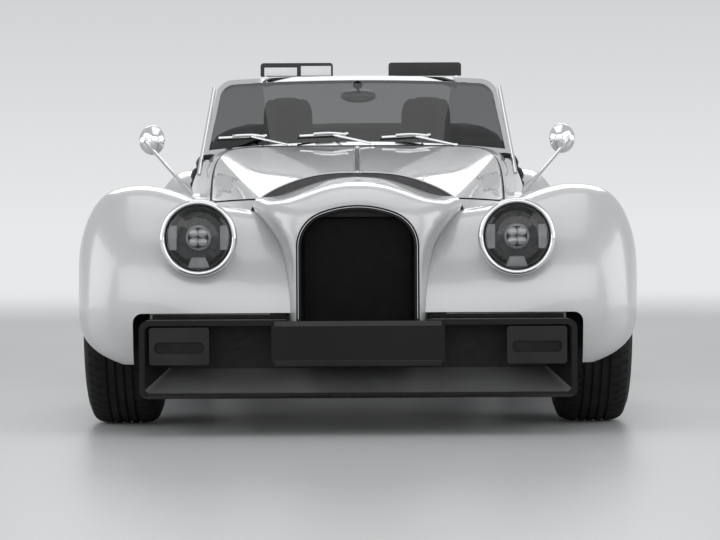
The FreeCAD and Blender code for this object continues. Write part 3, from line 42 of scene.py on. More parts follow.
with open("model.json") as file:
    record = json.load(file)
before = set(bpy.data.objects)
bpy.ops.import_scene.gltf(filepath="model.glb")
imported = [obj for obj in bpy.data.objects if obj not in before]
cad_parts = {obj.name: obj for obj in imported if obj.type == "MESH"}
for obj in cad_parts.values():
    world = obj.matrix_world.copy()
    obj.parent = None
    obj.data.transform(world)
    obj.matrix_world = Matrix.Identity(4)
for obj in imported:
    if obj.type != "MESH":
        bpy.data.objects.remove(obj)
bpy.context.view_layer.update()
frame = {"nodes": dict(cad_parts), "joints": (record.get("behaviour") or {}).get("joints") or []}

SIDES = (("left", 1), ("right", -1))
ENDS = ("front", "rear")

# Distances under which points are one point, in the turned pieces, the bars and the copied skins
TURNED_MERGE, BAR_MERGE, SKIN_MERGE = 0.00002, 0.00001, 0.00003
# How far a thin facing stands off its panel
FACING_LIFT, SEAL_LIFT = 0.0006, 0.0008
# Where a ray starts that looks for a panel's skin from the side, and from above
BESIDE, ABOVE = 1.2, 2
# The radius from which faces belong to a wheel arch, and how squarely they look at the axle
ARCH_LIP, ARCH_FACING = 0.368, -0.2
FORWARD, BACKWARD, OUTWARD = (0, -1, 0), (0, 1, 0), (1, 0, 0)


def joint_place(name):
    """Where a joint turns, in the frame."""
    for joint in frame["joints"]:
        if joint["name"] == name:
            return Vector(joint["pos_m"])
    raise ValueError(f"the frame has no joint {name}")


# Sizes and colours that a user would change


def colour(name, description, default):
    """A setting that holds a colour."""
    return bpy.props.FloatVectorProperty(
        name=name, description=description, subtype="COLOR", default=default, min=0, max=1)


def measure(name, description, default):
    """A setting that holds a length."""
    return bpy.props.FloatProperty(name=name, description=description, default=default, unit="LENGTH")


class PaintSettings(bpy.types.PropertyGroup):
    body: colour("Body", "Colour of the painted panels", (0.58, 0.59, 0.60))
    trim: colour("Trim", "Colour of the satin bumper and its lamps", (0.010, 0.010, 0.011))
    metal: colour("Bright metal", "Colour of the polished trim", (0.86, 0.87, 0.88))
    wheel: colour("Wheels", "Colour of the cast wheels", (0.45, 0.46, 0.47))
    leather: colour("Leather", "Colour of the seats and the dashboard", (0.022, 0.022, 0.024))
    hood: colour("Hood", "Colour of the folded hood", (0.012, 0.012, 0.013))
    glass: colour("Screen", "Tint of the windscreen", (0.165, 0.168, 0.172))


class TyreSettings(bpy.types.PropertyGroup):
    groove_depth: measure("Groove depth", "Depth of the tread's grooves", 0.007)
    groove_width: measure("Groove width", "Width of the grooves that run round the tyre", 0.009)
    pitches: bpy.props.IntProperty(
        name="Pitches", description="Tread blocks round the tyre", default=60, min=20)


class SoftSettings(bpy.types.PropertyGroup):
    voxel: measure("Voxel", "Mesh size of the padded forms", 0.006)
    pressure: bpy.props.FloatProperty(
        name="Pressure", description="How hard the padding pushes the cover out", default=4.0)
    swell: measure("Swell", "Furthest that the cover may move", 0.012)
    frames: bpy.props.IntProperty(
        name="Frames", description="Steps of the cloth simulation", default=20, min=5)


class TrimSettings(bpy.types.PropertyGroup):
    mesh_pitch: measure("Grille pitch", "Distance between the grille's wires", 0.0085)
    mesh_wire: measure("Grille wire", "Thickness of the grille's wires", 0.0018)
    stitch: measure("Stitch", "Length of a stitch on the seats", 0.006)


class StageSettings(bpy.types.PropertyGroup):
    floor: colour("Floor", "Colour of the studio floor", (0.62, 0.63, 0.64))
    horizon: colour("Horizon", "Colour of the backdrop near the floor", (0.80, 0.81, 0.82))
    zenith: colour("Zenith", "Colour of the backdrop high up", (0.53, 0.54, 0.55))
    ambient: bpy.props.FloatProperty(
        name="Ambient", description="Strength of the even light from all round", default=0.42)


# Finishes

FINISHES = {}


def finish(name, **sockets):
    """A material whose shader has these values on its own sockets."""
    material = bpy.data.materials.new(name)
    material.use_nodes = True
    shader = material.node_tree.nodes["Principled BSDF"]
    for socket, value in sockets.items():
        shader.inputs[socket.replace("_", " ")].default_value = value
    FINISHES[name] = material
    return material


def added(nodes, kind, **inputs):
    """A new shader node with these values on its inputs."""
    node = nodes.new("ShaderNode" + kind)
    for socket, value in inputs.items():
        node.inputs[socket.replace("_", " ")].default_value = value
    return node


def noise_of(material, scale, detail=2.0, stretch=(1, 1, 1)):
    """A noise texture on Object coordinates, stretched along the piece."""
    nodes, links = material.node_tree.nodes, material.node_tree.links
    coordinates = added(nodes, "TexCoord")
    mapping = added(nodes, "Mapping", Scale=stretch)
    texture = added(nodes, "TexNoise", Scale=scale, Detail=detail)
    links.new(coordinates.outputs["Object"], mapping.inputs["Vector"])
    links.new(mapping.outputs["Vector"], texture.inputs["Vector"])
    return texture


def cells_of(material, scale, feature="F1"):
    """A cell texture on Object coordinates, for leather grain and cast skin."""
    nodes, links = material.node_tree.nodes, material.node_tree.links
    coordinates = added(nodes, "TexCoord")
    texture = added(nodes, "TexVoronoi")
    texture.feature = feature
    texture.inputs["Scale"].default_value = scale
    links.new(coordinates.outputs["Object"], texture.inputs["Vector"])
    return texture


def ramp_between(holder, source, low, high, start=0.35, end=0.65):
    """The source's values drawn between two colours or two plain numbers."""
    ramp = added(holder.node_tree.nodes, "ValToRGB")
    for element, position, value in zip(ramp.color_ramp.elements, (start, end), (low, high)):
        element.position = position
        element.color = (*value, 1.0) if hasattr(value, "__len__") else (value, value, value, 1.0)
    holder.node_tree.links.new(source, ramp.inputs["Fac"])
    return ramp.outputs["Color"]


def shade(material, socket, output):
    """Lead a texture into one of the shader's sockets."""
    shader = material.node_tree.nodes["Principled BSDF"]
    material.node_tree.links.new(output, shader.inputs[socket])


def bump(material, heights, strength, distance):
    """Raise the surface by one or more height textures, finest last."""
    nodes, links = material.node_tree.nodes, material.node_tree.links
    last = None
    for height in heights:
        node = added(nodes, "Bump", Strength=strength, Distance=distance)
        links.new(height, node.inputs["Height"])
        if last:
            links.new(last.outputs["Normal"], node.inputs["Normal"])
        last = node
    shade(material, "Normal", last.outputs["Normal"])


def tinted(colour, factor):
    """The colour made lighter or darker, and never past white."""
    return tuple(min(1.0, channel * factor) for channel in colour[:3])


def weave_of(material, pitch):
    """The height of a plain weave, from two sets of waves across each other."""
    nodes, links = material.node_tree.nodes, material.node_tree.links
    coordinates = added(nodes, "TexCoord")
    threads = []
    for direction in ("X", "Y"):
        wave = added(nodes, "TexWave", Scale=0.314 / pitch, Distortion=0.4)
        wave.wave_type = "BANDS"
        wave.bands_direction = direction
        links.new(coordinates.outputs["Object"], wave.inputs["Vector"])
        threads.append(wave.outputs["Fac"])
    return larger_of(material, *threads)


def larger_of(holder, one, other):
    """The larger of two values at each point."""
    larger = added(holder.node_tree.nodes, "Math")
    larger.operation = "MAXIMUM"
    for index, value in enumerate((one, other)):
        holder.node_tree.links.new(value, larger.inputs[index])
    return larger.outputs[0]


def mottled(name, tone, low, high, roughness=None, grain=None, relief=None, **sockets):
    """A finish whose colour drifts between two tones. Roughness and relief follow it, or a finer grain."""
    material = finish(name, **sockets)
    drift = noise_of(material, *tone).outputs["Fac"]
    shade(material, "Base Color", ramp_between(material, drift, low, high))
    fine = noise_of(material, *grain).outputs["Fac"] if grain else drift
    if roughness:
        shade(material, "Roughness", ramp_between(material, fine, *roughness))
    if relief:
        bump(material, [fine], *relief)
    return material


def make_paint(settings):
    """The car's paint, with fine flakes under its lacquer."""
    paint = mottled("body_paint", (1.3,), tinted(settings.body, 0.985), tinted(settings.body, 1.015),
                    Metallic=0.3, Coat_Weight=1.0, Coat_Roughness=0.025, Coat_IOR=1.5)
    flake = cells_of(paint, 2600).outputs["Distance"]
    shade(paint, "Roughness", ramp_between(paint, flake, 0.26, 0.38, 0.1, 0.9))
    bump(paint, [flake], 0.05, 0.0002)


def make_trim(settings):
    """The satin, rubber, felt and gloss trim, from black to grey, and a lighter grey that is a painted
    highlight.
    """
    mottled("satin_black", (3.0,), tinted(settings.trim, 0.9), tinted(settings.trim, 1.15),
            roughness=(0.36, 0.48), grain=(900, 3.0), relief=(0.12, 0.0003), Specular_IOR_Level=0.16)
    mottled("lamp_case_grey", (12, 3.0), (0.015, 0.015, 0.016), (0.020, 0.020, 0.021),
            roughness=(0.4, 0.5), grain=(900, 3.0), relief=(0.1, 0.0003), Specular_IOR_Level=0.22)
    mottled("black_rubber", (14, 4.0), (0.011, 0.011, 0.011), (0.019, 0.019, 0.019),
            roughness=(0.62, 0.8), grain=(1400,), relief=(0.15, 0.0003), Specular_IOR_Level=0.2)
    mottled("arch_liner", (420, 5.0), (0.010, 0.010, 0.011), (0.022, 0.022, 0.023),
            roughness=(0.8, 0.95), relief=(0.5, 0.001), Specular_IOR_Level=0.25)
    mottled("grille_black", (30,), (0.010, 0.010, 0.011), (0.016, 0.016, 0.017),
            roughness=(0.34, 0.5), grain=(500,), Specular_IOR_Level=0.15)
    mottled("seal_grey", (20, 3.0), (0.075, 0.075, 0.078), (0.105, 0.105, 0.108),
            roughness=(0.5, 0.62), grain=(700,), Specular_IOR_Level=0.3)
    # Painted highlight: a lighter grey that stands in for the light from above on the bumper's upward floor
    mottled("tray_painted_light_grey", (5, 3.0), (0.075, 0.076, 0.078), (0.10, 0.102, 0.104),
            roughness=(0.38, 0.5), grain=(900, 3.0), relief=(0.12, 0.0003), Specular_IOR_Level=0.4)
    mottled("gloss_black", (9,), (0.011, 0.011, 0.012), (0.016, 0.016, 0.018),
            roughness=(0.12, 0.2), grain=(120,), Specular_IOR_Level=0.3)


def make_metals(settings):
    """The polished, cast, forged, turned and rolled metals."""
    mottled("bright_chrome", (4,), tinted(settings.metal, 0.97), settings.metal,
            roughness=(0.035, 0.09), grain=(60, 4.0), Metallic=1.0)
    mottled("wheel_silver", (6,), tinted(settings.wheel, 0.93), tinted(settings.wheel, 1.05),
            roughness=(0.3, 0.4), grain=(700,), relief=(0.08, 0.0002), Metallic=0.85, Coat_Weight=0.5,
            Coat_Roughness=0.12)
    steel = mottled("forged_steel", (18, 6.0), (0.085, 0.085, 0.088), (0.17, 0.17, 0.175),
                    roughness=(0.42, 0.62), Metallic=0.9)
    bump(steel, [noise_of(steel, 260, 4.0).outputs["Fac"]], 0.25, 0.0006)
    mottled("turned_disc", (60, 3.0, (0.2, 6, 6)), (0.32, 0.32, 0.32), (0.46, 0.46, 0.47),
            roughness=(0.24, 0.4), Metallic=1.0)
    mottled("tub_aluminium", (40, 4.0, (1, 12, 1)), (0.19, 0.195, 0.2), (0.26, 0.265, 0.27),
            roughness=(0.42, 0.58), Metallic=0.9)
    mottled("engine_cast", (160, 6.0), (0.05, 0.05, 0.052), (0.09, 0.09, 0.092),
            roughness=(0.55, 0.75), relief=(0.4, 0.001), Metallic=0.6)
    mottled("exhaust_steel", (5, 4.0), (0.30, 0.28, 0.25), (0.46, 0.45, 0.44),
            roughness=(0.22, 0.36), grain=(90,), Metallic=1.0)
    mottled("mirror_glass", (3,), (0.86, 0.87, 0.88), (0.9, 0.905, 0.91), Metallic=1.0, Roughness=0.012)


def make_glass(settings):
    """The screen, the lamps' lenses and what is seen through them."""
    mottled("screen_glass", (2,), tinted(settings.glass, 0.985), settings.glass,
            Roughness=0.004, IOR=1.6, Transmission_Weight=1.0)
    mottled("lens_glass", (5,), (0.86, 0.87, 0.875), (0.90, 0.905, 0.91),
            Roughness=0.008, IOR=1.36, Transmission_Weight=1.0)
    red = finish("lamp_red", IOR=1.49, Transmission_Weight=0.25, Coat_Weight=1.0, Coat_Roughness=0.03)
    shade(red, "Base Color", ramp_between(red, cells_of(red, 240).outputs["Distance"], (0.42, 0.012, 0.012),
                                          (0.30, 0.006, 0.008), 0.2, 0.8))
    shade(red, "Roughness", ramp_between(red, noise_of(red, 80).outputs["Fac"], 0.08, 0.16))
    mottled("lamp_bowl_dark", (55, 3.0), (0.008, 0.008, 0.009), (0.028, 0.028, 0.030),
            roughness=(0.2, 0.42), Metallic=0.55, Coat_Weight=0.4, Coat_Roughness=0.08)
    mottled("lamp_clip_grey", (25,), (0.34, 0.34, 0.345), (0.42, 0.42, 0.425),
            roughness=(0.35, 0.5), grain=(300,), Metallic=0.2)


def make_soft(settings):
    """The leather with its thread, the hood's cloth, the carpet and the visors' card."""
    leather = mottled("black_leather", (7, 4.0), tinted(settings.leather, 0.8),
                      tinted(settings.leather, 1.35), Specular_IOR_Level=0.42, Sheen_Weight=0.08,
                      Sheen_Roughness=0.5)
    grain = cells_of(leather, 420, "DISTANCE_TO_EDGE").outputs["Distance"]
    shade(leather, "Roughness", ramp_between(leather, grain, 0.58, 0.42, 0.0, 0.25))
    bump(leather, [noise_of(leather, 60, 3.0).outputs["Fac"], grain], 0.35, 0.0007)
    mottled("stitch_thread", (900,), (0.16, 0.16, 0.165), (0.26, 0.26, 0.265),
            roughness=(0.6, 0.8), grain=(400,), Specular_IOR_Level=0.3)
    cloth = mottled("hood_cloth", (5, 4.0), tinted(settings.hood, 0.85), tinted(settings.hood, 1.6),
                    roughness=(0.78, 0.92), Specular_IOR_Level=0.25, Sheen_Weight=0.25, Sheen_Roughness=0.45)
    bump(cloth, [weave_of(cloth, 0.0016)], 0.4, 0.0006)
    mottled("black_carpet", (380, 6.0), (0.008, 0.008, 0.009), (0.024, 0.024, 0.026),
            roughness=(0.85, 1.0), relief=(0.7, 0.002), Specular_IOR_Level=0.15, Sheen_Weight=0.3)
    mottled("visor_card", (12,), (0.78, 0.79, 0.8), (0.86, 0.865, 0.87),
            roughness=(0.4, 0.55), grain=(300,), Specular_IOR_Level=0.4)


# Which of the frame's nodes take each finish

FINISH_NODES = {
    "body_paint": ("front_wings", "rear_wings", "bonnet_left", "bonnet_right", "side_panels", "scuttle",
                   "door_left", "door_right", "tail_body", "nose_cowl"),
    "bright_chrome": ("hinges", "windscreen_frame", "wipers", "headlamp_shells", "wing_mirrors"),
    "satin_black": ("front_bumper", "number_plate", "rear_bumper"),
    "black_leather": ("steering_wheel", "dashboard", "seat_left", "seat_right"),
    "forged_steel": ("suspension", "knuckle_left", "knuckle_right"),
    "arch_liner": ("wheel_liners",),
    "screen_glass": ("windscreen_glass",),
    "lamp_case_grey": ("bumper_lamps",),
    "grille_black": ("grille",),
    "lamp_bowl_dark": ("headlamp_bowls",),
    "lens_glass": ("headlamp_lenses",),
    "tub_aluminium": ("chassis_tub",),
    "engine_cast": ("engine",),
    "gloss_black": ("screen_fittings",),
    "lamp_red": ("rear_lamps",),
    "exhaust_steel": ("exhaust",),
    "hood_cloth": ("folded_hood",),
    "black_rubber": tuple(f"tyre_{end}_{side}" for end in ENDS for side, _ in SIDES),
    "wheel_silver": tuple(f"wheel_{end}_{side}" for end in ENDS for side, _ in SIDES),
}


# Hand tools


def deselect():
    """Leave edit mode and put everything down."""
    if bpy.context.mode != "OBJECT":
        bpy.ops.object.mode_set(mode="OBJECT")
    bpy.ops.object.select_all(action="DESELECT")


def take(piece):
    """Make this piece the only one in hand."""
    deselect()
    piece.select_set(True)
    bpy.context.view_layer.objects.active = piece
    return piece


def edit(piece, mode="FACE", everything=False):
    """Open the piece in edit mode, with all or nothing of it selected."""
    take(piece)
    bpy.ops.object.mode_set(mode="EDIT")
    bpy.ops.mesh.select_mode(type=mode)
    bpy.ops.mesh.select_all(action="SELECT" if everything else "DESELECT")


def pick_faces(piece, test):
    """Select the faces whose middle and normal pass the test, in edit mode."""
    bpy.ops.mesh.select_all(action="DESELECT")
    mesh = bmesh.from_edit_mesh(piece.data)
    mesh.normal_update()
    for face in mesh.faces:
        face.select_set(test(face.calc_center_median(), face.normal))
    mesh.select_flush_mode()
    bmesh.update_edit_mesh(piece.data)


def pick_edges(piece, test):
    """Select the edges whose ends pass the test, in edit mode."""
    bpy.ops.mesh.select_mode(type="EDGE")
    bpy.ops.mesh.select_all(action="DESELECT")
    mesh = bmesh.from_edit_mesh(piece.data)
    for edge in mesh.edges:
        edge.select_set(test(edge.verts[0].co, edge.verts[1].co))
    mesh.select_flush_mode()
    bmesh.update_edit_mesh(piece.data)


def close_edit():
    bpy.ops.object.mode_set(mode="OBJECT")


def apply_modifiers(piece):
    """Make the piece's modifiers part of its mesh."""
    take(piece)
    for modifier in list(piece.modifiers):
        bpy.ops.object.modifier_apply(modifier=modifier.name)


def bevelled(piece, width, segments=3, angle=32):
    """Round the sharp edges."""
    modifier = piece.modifiers.new("Rounding", "BEVEL")
    modifier.width = width
    modifier.segments = segments
    modifier.limit_method = "ANGLE"
    modifier.angle_limit = math.radians(angle)
    apply_modifiers(piece)
    return piece


def settle(piece, name, material, body="root", smooth=35, replaces=()):
    """Put the piece's place in its mesh, and give it its name, finish and body."""
    take(piece)
    bpy.ops.object.transform_apply(location=True, rotation=True, scale=True)
    piece.name = name
    piece.data.name = name
    if smooth is not None:
        bpy.ops.object.shade_smooth_by_angle(angle=math.radians(smooth))
    piece.data.materials.clear()
    piece.data.materials.append(FINISHES[material])
    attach(piece, body)
    if replaces:
        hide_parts(*replaces)
    return piece


def settle_pair(part, name, material, body=None, smooth=35, replaces=()):
    """Settle a left piece and its mirror image, each on its own side's body."""
    twin = mirrored_copy(part)
    for side_name, piece in (("left", part), ("right", twin)):
        carrier = f"{body}_{side_name}" if body else "root"
        settle(piece, f"{name}_{side_name}", material, carrier, smooth, replaces)


def block(low, high):
    """A cube primitive drawn between two corners, with its place in its mesh."""
    deselect()
    middle = [(a + b) / 2 for a, b in zip(low, high)]
    bpy.ops.mesh.primitive_cube_add(size=1, location=middle, scale=[b - a for a, b in zip(low, high)])
    piece = bpy.context.object
    bpy.ops.object.transform_apply(location=True, rotation=True, scale=True)
    return piece


def disc(centre, radius, depth, direction, vertices=48):
    """A round primitive whose axis points along the direction."""
    deselect()
    turn = Vector(direction).to_track_quat("Z", "Y").to_euler()
    bpy.ops.mesh.primitive_cylinder_add(vertices=vertices, radius=radius, depth=depth, location=centre,
                                        rotation=turn)
    piece = bpy.context.object
    bpy.ops.object.transform_apply(location=True, rotation=True, scale=True)
    return piece


def turned(profile, axis, centre, steps=64):
    """A profile drawn point by point in the plane of the axis and Z, spun about the axis."""
    deselect()
    axis = Vector(axis).normalized()
    radial = Vector((0, 0, 1)) if abs(axis.z) < 0.9 else Vector((1, 0, 0))
    radial = (radial - axis * radial.dot(axis)).normalized()
    points = [Vector(centre) + axis * along + radial * out for along, out in profile]
    bpy.ops.mesh.primitive_plane_add(size=0.001, location=points[0])
    piece = bpy.context.object
    bpy.ops.object.transform_apply(location=True, rotation=True, scale=True)
    bpy.ops.object.mode_set(mode="EDIT")
    bpy.ops.mesh.select_mode(type="VERT")
    bpy.ops.mesh.select_all(action="SELECT")
    bpy.ops.mesh.merge(type="CENTER")
    for here, there in zip(points, points[1:]):
        bpy.ops.mesh.extrude_region_move(TRANSFORM_OT_translate={"value": there - here})
    bpy.ops.mesh.select_all(action="SELECT")
    bpy.ops.mesh.spin(steps=steps, angle=math.tau, center=centre, axis=axis)
    bpy.ops.mesh.select_all(action="SELECT")
    bpy.ops.mesh.remove_doubles(threshold=TURNED_MERGE)
    bpy.ops.mesh.normals_make_consistent(inside=False)
    close_edit()
    return piece


def tube(points, radius, sides=12, smooth_path=True):
    """A round bar along points, made as a bevelled curve and then a mesh."""
    deselect()
    curve = bpy.data.curves.new("bar", "CURVE")
    curve.dimensions = "3D"
    curve.bevel_depth = radius
    curve.bevel_resolution = max(1, sides // 4 - 1)
    curve.use_fill_caps = True
    spline = curve.splines.new("NURBS" if smooth_path else "POLY")
    spline.points.add(len(points) - 1)
    for point, place in zip(spline.points, points):
        point.co = (*place, 1.0)
    if smooth_path:
        spline.order_u = 3
        spline.use_endpoint_u = True
        spline.resolution_u = 8
    piece = bpy.data.objects.new("bar", curve)
    bpy.context.scene.collection.objects.link(piece)
    take(piece)
    bpy.ops.object.convert(target="MESH")
    edit(piece, "VERT", True)
    bpy.ops.mesh.remove_doubles(threshold=BAR_MERGE)
    bpy.ops.mesh.normals_make_consistent(inside=False)
    close_edit()
    return piece


def joined(pieces):
    """All the pieces as one mesh."""
    deselect()
    for piece in pieces:
        piece.select_set(True)
    bpy.context.view_layer.objects.active = pieces[0]
    if len(pieces) > 1:
        bpy.ops.object.join()
    return bpy.context.object


def mirrored_copy(piece):
    """The same piece on the car's other side, with its own mesh."""
    twin = copied(piece)
    twin.data.transform(Matrix.Scale(-1, 4, Vector(OUTWARD)))
    edit(twin, "FACE", True)
    bpy.ops.mesh.flip_normals()
    close_edit()
    return twin


def copied(piece):
    """The same piece again, with its own mesh."""
    twin = piece.copy()
    twin.data = piece.data.copy()
    bpy.context.scene.collection.objects.link(twin)
    return twin


def skin_of(node):
    """A merged copy of a node's mesh, whose faces can be shaded smoothly together."""
    piece = bpy.data.objects.new(node + "_skin", frame["nodes"][node].data.copy())
    bpy.context.scene.collection.objects.link(piece)
    edit(piece, "VERT", True)
    bpy.ops.mesh.remove_doubles(threshold=SKIN_MERGE)
    close_edit()
    return piece


def cut_away(piece, test):
    """Delete the faces that pass the test, and stay in edit mode."""
    edit(piece)
    pick_faces(piece, test)
    bpy.ops.mesh.delete(type="FACE")


def peeled(node, name, material, keep, lift):
    """A thin facing over those faces of a node that pass the test."""
    facing = skin_of(node)
    cut_away(facing, lambda middle, normal: not keep(middle, normal))
    mesh = bmesh.from_edit_mesh(facing.data)
    mesh.normal_update()
    for vertex in mesh.verts:
        vertex.co += vertex.normal * lift
    bmesh.update_edit_mesh(facing.data)
    close_edit()
    return settle(facing, name, material, smooth=None)


def reshape(piece, shape):
    """Move each point of a piece in edit mode to where the shape puts it."""
    mesh = bmesh.from_edit_mesh(piece.data)
    for vertex in mesh.verts:
        vertex.co = shape(vertex.co.copy())
    bmesh.update_edit_mesh(piece.data)
    close_edit()


def side_skin(node, side, y, z):
    """Whether a panel is met from the car's side at this place, and where and how it faces."""
    start = Vector((side * BESIDE, y, z))
    hit, point, normal, _ = frame["nodes"][node].ray_cast(start, Vector((-side, 0, 0)))
    return hit, point, normal


def repeated(piece, places):
    """One mesh that holds the piece once at each place."""
    whole = bmesh.new()
    for place in places:
        first = len(whole.verts)
        whole.from_mesh(piece.data)
        whole.verts.ensure_lookup_table()
        bmesh.ops.transform(whole, matrix=place, verts=whole.verts[first:])
    whole.to_mesh(piece.data)
    whole.free()
    return piece


def puffed(piece, settings, swell):
    """Pad the form: an even mesh, blown up as cloth and held to the swell."""
    even = piece.modifiers.new("Even mesh", "REMESH")
    even.mode = "VOXEL"
    even.voxel_size = settings.voxel
    apply_modifiers(piece)
    rest = [vertex.co.copy() for vertex in piece.data.vertices]
    cloth = piece.modifiers.new("Padding", "CLOTH")
    cloth.settings.quality = 4
    cloth.settings.use_pressure = True
    cloth.settings.uniform_pressure_force = settings.pressure
    cloth.settings.effector_weights.gravity = 0
    take(piece)
    for step in range(1, settings.frames + 1):
        bpy.context.scene.frame_set(step)
    apply_modifiers(piece)
    bpy.context.scene.frame_set(1)
    for vertex, start in zip(piece.data.vertices, rest):
        move = vertex.co - start
        if move.length > swell:
            vertex.co = start + move.normalized() * swell
    return piece


def sew(piece, channels, depth, width):
    """Draw the cover in along seams that lie at these places across the car."""
    moves = []
    for vertex in piece.data.vertices:
        pull = sum(math.exp(-((vertex.co.x - channel) / (width / 2)) ** 2) for channel in channels)
        moves.append(vertex.normal * (-depth * min(1.0, pull)))
    for vertex, move in zip(piece.data.vertices, moves):
        vertex.co += move


def finish_subdivided(piece):
    """Smooth a padded cover by one subdivision."""
    fine = piece.modifiers.new("Smooth cover", "SUBSURF")
    fine.levels = fine.render_levels = 1
    apply_modifiers(piece)


# Operators, one for each group of pieces


class ROADSTER_OT_finishes(bpy.types.Operator):
    """Make the finishes and lay them on the frame's own pieces"""
    bl_idname = "roadster.finishes"
    bl_label = "Finishes"

    def execute(self, context):
        settings = context.scene.roadster_paint
        make_paint(settings)
        make_trim(settings)
        make_metals(settings)
        make_glass(settings)
        make_soft(settings)
        for name, nodes in FINISH_NODES.items():
            for node in nodes:
                mesh = frame["nodes"][node].data
                mesh.materials.clear()
                mesh.materials.append(FINISHES[name])
        return {"FINISHED"}


class ROADSTER_OT_stage(bpy.types.Operator):
    """Set the pale floor, the soft lights, the backdrop and the camera"""
    bl_idname = "roadster.stage"
    bl_label = "Stage"

    def execute(self, context):
        settings = context.scene.roadster_stage
        self.make_floor(settings)
        self.make_world(settings)
        self.make_lights()
        self.make_camera()
        context.scene.view_settings.view_transform = "Standard"
        return {"FINISHED"}

    def make_floor(self, settings):
        """A pale disc that fades into the backdrop far from the car."""
        deselect()
        bpy.ops.mesh.primitive_circle_add(vertices=96, radius=60, fill_type="NGON")
        floor = bpy.context.object
        floor.name = "studio_floor"
        material = bpy.data.materials.new("studio_floor")
        material.use_nodes = True
        nodes, links = material.node_tree.nodes, material.node_tree.links
        shader = nodes["Principled BSDF"]
        shader.inputs["Base Color"].default_value = (*settings.floor, 1.0)
        shader.inputs["Roughness"].default_value = 0.35
        shader.inputs["Specular IOR Level"].default_value = 0.35
        haze = added(nodes, "Emission", Color=(*settings.horizon, 1.0))
        coordinates = added(nodes, "TexCoord")
        length = added(nodes, "VectorMath")
        length.operation = "LENGTH"
        reach = added(nodes, "MapRange", From_Min=3.5, From_Max=16.0)
        reach.interpolation_type = "SMOOTHSTEP"
        mix = added(nodes, "MixShader")
        links.new(coordinates.outputs["Object"], length.inputs[0])
        links.new(length.outputs["Value"], reach.inputs["Value"])
        links.new(reach.outputs["Result"], mix.inputs["Fac"])
        links.new(shader.outputs["BSDF"], mix.inputs[1])
        links.new(haze.outputs["Emission"], mix.inputs[2])
        links.new(mix.outputs["Shader"], nodes["Material Output"].inputs["Surface"])
        floor.data.materials.append(material)

    def make_world(self, settings):
        """Even light on the car, and the backdrop's colours where it is seen or mirrored."""
        world = bpy.data.worlds.new("studio")
        bpy.context.scene.world = world
        world.use_nodes = True
        nodes, links = world.node_tree.nodes, world.node_tree.links
        plain = nodes["Background"]
        plain.inputs["Color"].default_value = (1.0, 1.0, 1.0, 1.0)
        plain.inputs["Strength"].default_value = settings.ambient
        seen = added(nodes, "Background")
        coordinates = added(nodes, "TexCoord")
        split = added(nodes, "SeparateXYZ")
        links.new(coordinates.outputs["Generated"], split.inputs["Vector"])
        sky = ramp_between(world, split.outputs["Z"], settings.horizon, settings.zenith, 0.0, 0.14)
        links.new(sky, seen.inputs["Color"])
        path = added(nodes, "LightPath").outputs
        direct = larger_of(world, path["Is Camera Ray"], path["Is Glossy Ray"])
        mix = added(nodes, "MixShader")
        links.new(larger_of(world, direct, path["Is Transmission Ray"]), mix.inputs["Fac"])
        links.new(plain.outputs["Background"], mix.inputs[1])
        links.new(seen.outputs["Background"], mix.inputs[2])
        links.new(mix.outputs["Shader"], nodes["World Output"].inputs["Surface"])

    def make_lights(self):
        """Soft lamps, each with its place, aim, size and power."""
        for name, place, target, size, power in (
                ("overhead", (0, -0.6, 4.6), (0, -0.4, 0), (3.2, 6.5), 42),
                ("left_bank", (5.4, -3.0, 2.4), (0, -0.8, 0.5), (6.5, 4.2), 100),
                ("right_bank", (-5.4, -3.0, 2.4), (0, -0.8, 0.5), (6.5, 4.2), 100),
                ("front_fill", (0, -9.2, 3.2), (0, -1.2, 0.5), (9.0, 4.6), 140),
                ("rear_bank", (0, 6.2, 3.4), (0, 0.6, 0.6), (5.0, 2.0), 60)):
            deselect()
            toward = (Vector(target) - Vector(place)).to_track_quat("-Z", "Y").to_euler()
            bpy.ops.object.light_add(type="AREA", location=place, rotation=toward)
            lamp = bpy.context.object
            lamp.name = name
            lamp.data.shape = "RECTANGLE"
            lamp.data.size, lamp.data.size_y = size
            lamp.data.energy = power

    def make_camera(self):
        """The photograph's own view, from its fitted distance, height and frame."""
        deselect()
        distance, height = 9.825, 0.62
        focal_pixels, frame_width, horizon_row, frame_height = 2695, 720, 224.5, 540
        middle_column, roll = 357.5, math.radians(0.3)
        pitch = math.atan((frame_height / 2 - horizon_row) / focal_pixels)
        bpy.ops.object.camera_add(location=(0, -distance, height),
                                  rotation=(math.pi / 2 - pitch, roll, 0))
        camera = bpy.context.object
        camera.data.sensor_width = 36
        camera.data.lens = focal_pixels / frame_width * camera.data.sensor_width
        camera.data.shift_x = (frame_width / 2 - middle_column) / frame_width
        bpy.context.scene.camera = camera


